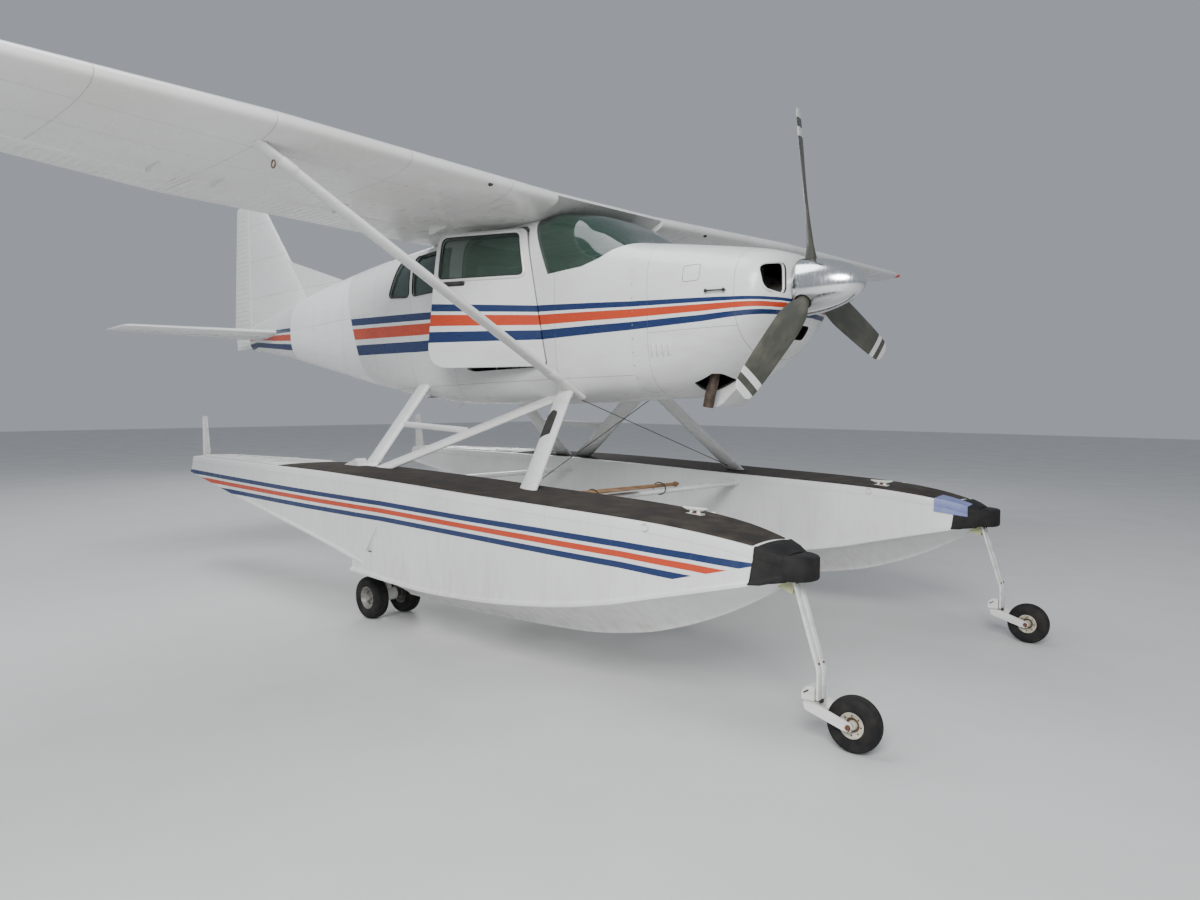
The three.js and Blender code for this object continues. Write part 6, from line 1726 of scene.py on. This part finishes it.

# Cowling fittings: a dark bar handle, four pressed louvres with a dark strip in each slit that paints its
# shade, and the seam of an oil door, on the starboard side as in the photo.
HANDLE_ENDS = [(0.601, 0.527), (0.723, 0.521)]
KNOB = [(0.0, 0.0), (0.0, 0.008), (0.006, 0.012), (0.012, 0.008), (0.012, 0.0)]
LOUVRES = {"x": 0.180, "z": 0.196, "pitch": 0.043, "count": 4}


def on_cowl(x, z, out):
    """A point on the starboard side of the cowling, so far out from its skin."""
    return x, -(skin_y(x, z) + out), z


near, far = HANDLE_ENDS
route = [on_cowl(*near, 0.0), on_cowl(*near, 0.02), on_cowl(*far, 0.02), on_cowl(*far, 0.0)]
handle = [tube("bar_handle", route, 0.0055, 12)]
handle += [turned("knob", KNOB, set_at(*on_cowl(x, z, 0.013), -90, "Z"), 20) for x, z in HANDLE_ENDS]
fitted(joined("cowl_handle", *handle), dark_metal, "cabin_trim")
louvres, slit_shades = [], []
for k in range(LOUVRES["count"]):
    x, z = LOUVRES["x"] + LOUVRES["pitch"] * k, LOUVRES["z"]
    spots = [(x + lean * 0.2, -(skin_y(x, z + lean) + 0.001), z + lean)
             for lean in (-0.040, -0.030, 0.0, 0.030, 0.040)]
    louvres.append(tube("louvre", spots, (0.002, 0.0085, 0.0095, 0.0085, 0.002), 12))
    # A dark strip in the slit under each louvre: painted shade
    slit_shades.append(tube("slit", [(px - 0.0075, py - 0.0015, pz) for px, py, pz in spots[1:-1]], 0.0034, 8))
fitted(joined("louvres", *louvres), cowl_paint, "white_paint")
fitted(joined("louvre_slits", *slit_shades), shade_and_seam_dark, "white_paint")
seam = [on_cowl(x, z, -0.0004) for x, z in densely(rounded_box(0.42, 0.54, 0.60, 0.70, 0.02, 6), 0.02)]
fitted(tube("oil_door_seam", seam, 0.0016, 6, looped=True), shade_and_seam_dark, "white_paint")

# Strut fittings: white end cuffs, black anti-chafe patches, tie-down rings, the hinge brackets under
# the wings, and two crossed bracing wires between the front struts.
CUFFS = {"wing_strut": ((0.045, 0.085), (0.925, 0.965)), "front_strut": ((0.075, 0.150), (0.90, 0.95)),
         "rear_strut": ((0.12, 0.18),)}
CUFF_SIZES = ((0, 0.94), (0.06, 1), (0.94, 1), (1, 0.94))
HINGE_BRACKETS = (0.80, 1.60, 2.42, 2.80, 3.90, 4.95)
wire_metal = worn("wire_metal", (0.06, 0.06, 0.062), 0.45, (0.14, 0.12, 0.10), 40.0, Metallic=0.7)


def chafe_patch(name, side, low, high):
    """A rubber sheet stuck on the aft part of a front strut's outboard face."""
    row = STRUTS["front_strut"]
    start, end = on_strut(row, side, low), on_strut(row, side, high)
    axis = (end - start).normalized()
    rings = []
    for t in np.linspace(0, 1, 9):
        centre = start.lerp(end, t)
        narrow = 1.0 if t < 0.8 else math.sqrt(max(0.05, 1 - ((t - 0.8) / 0.2) ** 2))
        turns = np.linspace(math.radians(112 - 42 * narrow), math.radians(112 + 60 * narrow), 14)
        pair = []
        for lift in (0.0022, -0.0008):
            ring = bar_ring(centre, axis, row[2] + lift * 2, row[3] + lift * 2, 72)
            pair.append([ring[int(round(turn * side * 36 / math.pi)) % 72] for turn in turns])
        rings.append(pair[0] + pair[1][::-1])
    return loft(name, rings)


for name, side in SIDES:
    cuffs = []
    for key, spans in CUFFS.items():
        row = STRUTS[key]
        for low, high in spans:
            ends = on_strut(row, side, low), on_strut(row, side, high)
            cuffs.append(faired_bar("cuff", *ends, row[2] + 0.010, row[3] + 0.010, CUFF_SIZES))
    fitted(joined(f"strut_cuffs_{name}", *cuffs), strut_paint, "white_paint")
    fitted(chafe_patch(f"chafe_patch_{name}", side, 0.52, 0.77), black_rubber, "bumper_rubber")
    under = on_strut(STRUTS["wing_strut"], side, 0.965) + Vector((0.03, side * 0.05, -0.034))
    fitted(ring_of(f"tie_down_ring_{name}", under, 0.020, 0.0042, 10, 24), gear_steel, "gear_paint")
    brackets = []
    for y in HINGE_BRACKETS:
        (x0, _, z0), (x1, _, z1) = (wing_spot(y, share, -1, side)[0] for share in (0.56, 0.70))
        outline = [(x0, z0 + 0.004), (x1, z1 + 0.004), (x1, z1 - 0.030), (x1 + 0.03, z1 - 0.034),
                   (x0 - 0.03, z0 - 0.006)]
        brackets.append(across("hinge_bracket", outline, side * y - 0.004, side * y + 0.004))
    fitted(joined(f"hinge_brackets_{name}", *brackets), strut_paint, "white_paint")
    beside = Vector((0.012 * side, 0, 0))
    route = [on_strut(STRUTS["front_strut"], way, share) + beside
             for way, share in ((side, 0.97), (-side, 0.07))]
    fitted(tube(f"bracing_wire_{name}", route, 0.0030, 8), wire_metal, "gear_paint")

# Small fittings: tip lights, fuel caps, aerials, the pitot tube and a round inspection cover.
red_lens = new_material("red_lens", (0.45, 0.02, 0.015), 0.12, Coat_Weight=0.5)[0]
green_lens = new_material("green_lens", (0.02, 0.30, 0.08), 0.12, Coat_Weight=0.5)[0]
clear_lens = new_material("clear_lens", (0.70, 0.72, 0.72), 0.08, Coat_Weight=0.5)[0]
TIP_LIGHT = [(-0.015, 0.0), (-0.012, 0.016), (0.020, 0.018), (0.040, 0.013), (0.050, 0.005), (0.052, 0.0)]
FUEL_CAP = [(-0.002, 0.0), (-0.002, 0.052), (0.003, 0.052), (0.005, 0.046), (0.005, 0.040), (0.012, 0.036),
            (0.014, 0.030), (0.014, 0.0)]
BELLY_COVER = [(0.0, 0.0), (0.0, 0.070), (0.004, 0.070), (0.008, 0.060), (0.008, 0.0)]
TAIL_LIGHT = [(-0.010, 0.0), (-0.008, 0.016), (0.010, 0.017), (0.022, 0.012), (0.028, 0.0)]


def heights(x):
    """How high the points of the body's outline are at one station."""
    return np.asarray(fuselage_ring(x), float)[:, 2]


for (name, side), lens in zip(SIDES, (red_lens, green_lens)):
    (x, y, z), _ = wing_spot(5.33, 0.05, -1, side)
    fitted(turned(f"tip_light_{name}", TIP_LIGHT, set_at(x + 0.035, y, z + 0.018), 32), lens, "window_glass")
    spot, out = wing_spot(1.50, 0.30, 1, side)
    turn = Vector((1, 0, 0)).rotation_difference(Vector(out).normalized()).to_matrix().to_4x4()
    cap = turned(f"fuel_cap_{name}", FUEL_CAP, Matrix.Translation(spot) @ turn, 48)
    fitted(cap, bright_metal, "white_paint")
    (x, y, z), _ = wing_spot(1.15, 0.012, -1, side)
    inlet = rod(f"air_inlet_{name}", (x - 0.01, y, z + 0.004), (x + 0.006, y, z + 0.004), 0.017)
    fitted(inlet, black_rubber, "white_paint")
(x, y, z), _ = wing_spot(3.30, 0.22, -1, 1)
route = [(x + ahead, y, z + up) for ahead, up in
         ((0, 0.01), (0, -0.06), (0.02, -0.085), (0.06, -0.09), (0.24, -0.088))]
fitted(tube("pitot_tube", route, (0.010, 0.010, 0.009, 0.007, 0.006), 14), bright_metal, "gear_paint")
aerials = [tube("roof_aerial", [(-1.75, side * 0.22, 1.345), (-1.83, side * 0.22, 1.46),
                                (-1.98, side * 0.22, 1.60)],
                (0.006, 0.0045, 0.0018)) for side in (1, -1)]
for x in (-1.30, -2.45):
    low = heights(x).min()
    route = [(x, 0.10, low + 0.02), (x - 0.02, 0.10, low - 0.05), (x - 0.09, 0.10, low - 0.085)]
    aerials.append(tube("belly_aerial", route, (0.006, 0.005, 0.003)))
fitted(joined("aerials", *aerials), strut_paint, "gear_paint")
cover = turned("belly_cover", BELLY_COVER, set_at(-1.05, -0.16, heights(-1.05).min() + 0.004, 90), 48)
fitted(cover, bright_metal, "gear_paint")
tail_lamp = turned("tail_light", TAIL_LIGHT, set_at(TAIL_END + 0.004, 0, heights(TAIL_END).mean(), 180, "Z"),
                   24)
fitted(tail_lamp, clear_lens, "window_glass")

# Floor, light and camera
floor_paint = worn("floor_paint", (0.62, 0.62, 0.61), 0.55, (0.58, 0.58, 0.57), 1.5)
floor = mesh_object("floor", [(-40, -40, 0), (40, -40, 0), (40, 40, 0), (-40, 40, 0)], [(0, 1, 2, 3)])
floor.data.materials.append(floor_paint)
world = bpy.data.worlds.new("studio")
world.use_nodes = True
world.node_tree.nodes["Background"].inputs[0].default_value = (0.80, 0.86, 0.95, 1)
world.node_tree.nodes["Background"].inputs[1].default_value = 0.42
bpy.context.scene.world = world


def soft_light(name, where, aim, size, power, colour=(1, 1, 1)):
    lamp = bpy.data.lights.new(name, "AREA")
    lamp.shape, lamp.size, lamp.energy, lamp.color = "DISK", size, power, colour
    made = bpy.data.objects.new(name, lamp)
    bpy.context.scene.collection.objects.link(made)
    made.location = where
    made.rotation_euler = (Vector(aim) - Vector(where)).to_track_quat("-Z", "Y").to_euler()


soft_light("key", (7.5, -8.5, 6.5), (0.5, -0.5, 1.4), 5.0, 1250)
soft_light("sky", (-2.0, -3.0, 11.0), (0, 0, 1), 8.0, 700, (0.95, 0.97, 1.0))
soft_light("back", (-8.0, 7.0, 5.0), (-1, 0, 1.5), 5.0, 350)

CAMERA_AT = (5.9695, -4.80, 1.559)
CAMERA_AXES = ((0.7364, 0.6766, 0.0054), (-0.0427, 0.0385, 0.9984), (0.6752, -0.7354, 0.0572))
camera = bpy.data.cameras.new("camera")
camera.sensor_width, camera.lens = 36.0, 26.24
camera.clip_start, camera.clip_end = 0.05, 200.0
eye = bpy.data.objects.new("camera", camera)
bpy.context.scene.collection.objects.link(eye)
eye.matrix_world = Matrix.Translation(CAMERA_AT) @ Matrix(CAMERA_AXES).transposed().to_4x4()
bpy.context.scene.camera = eye
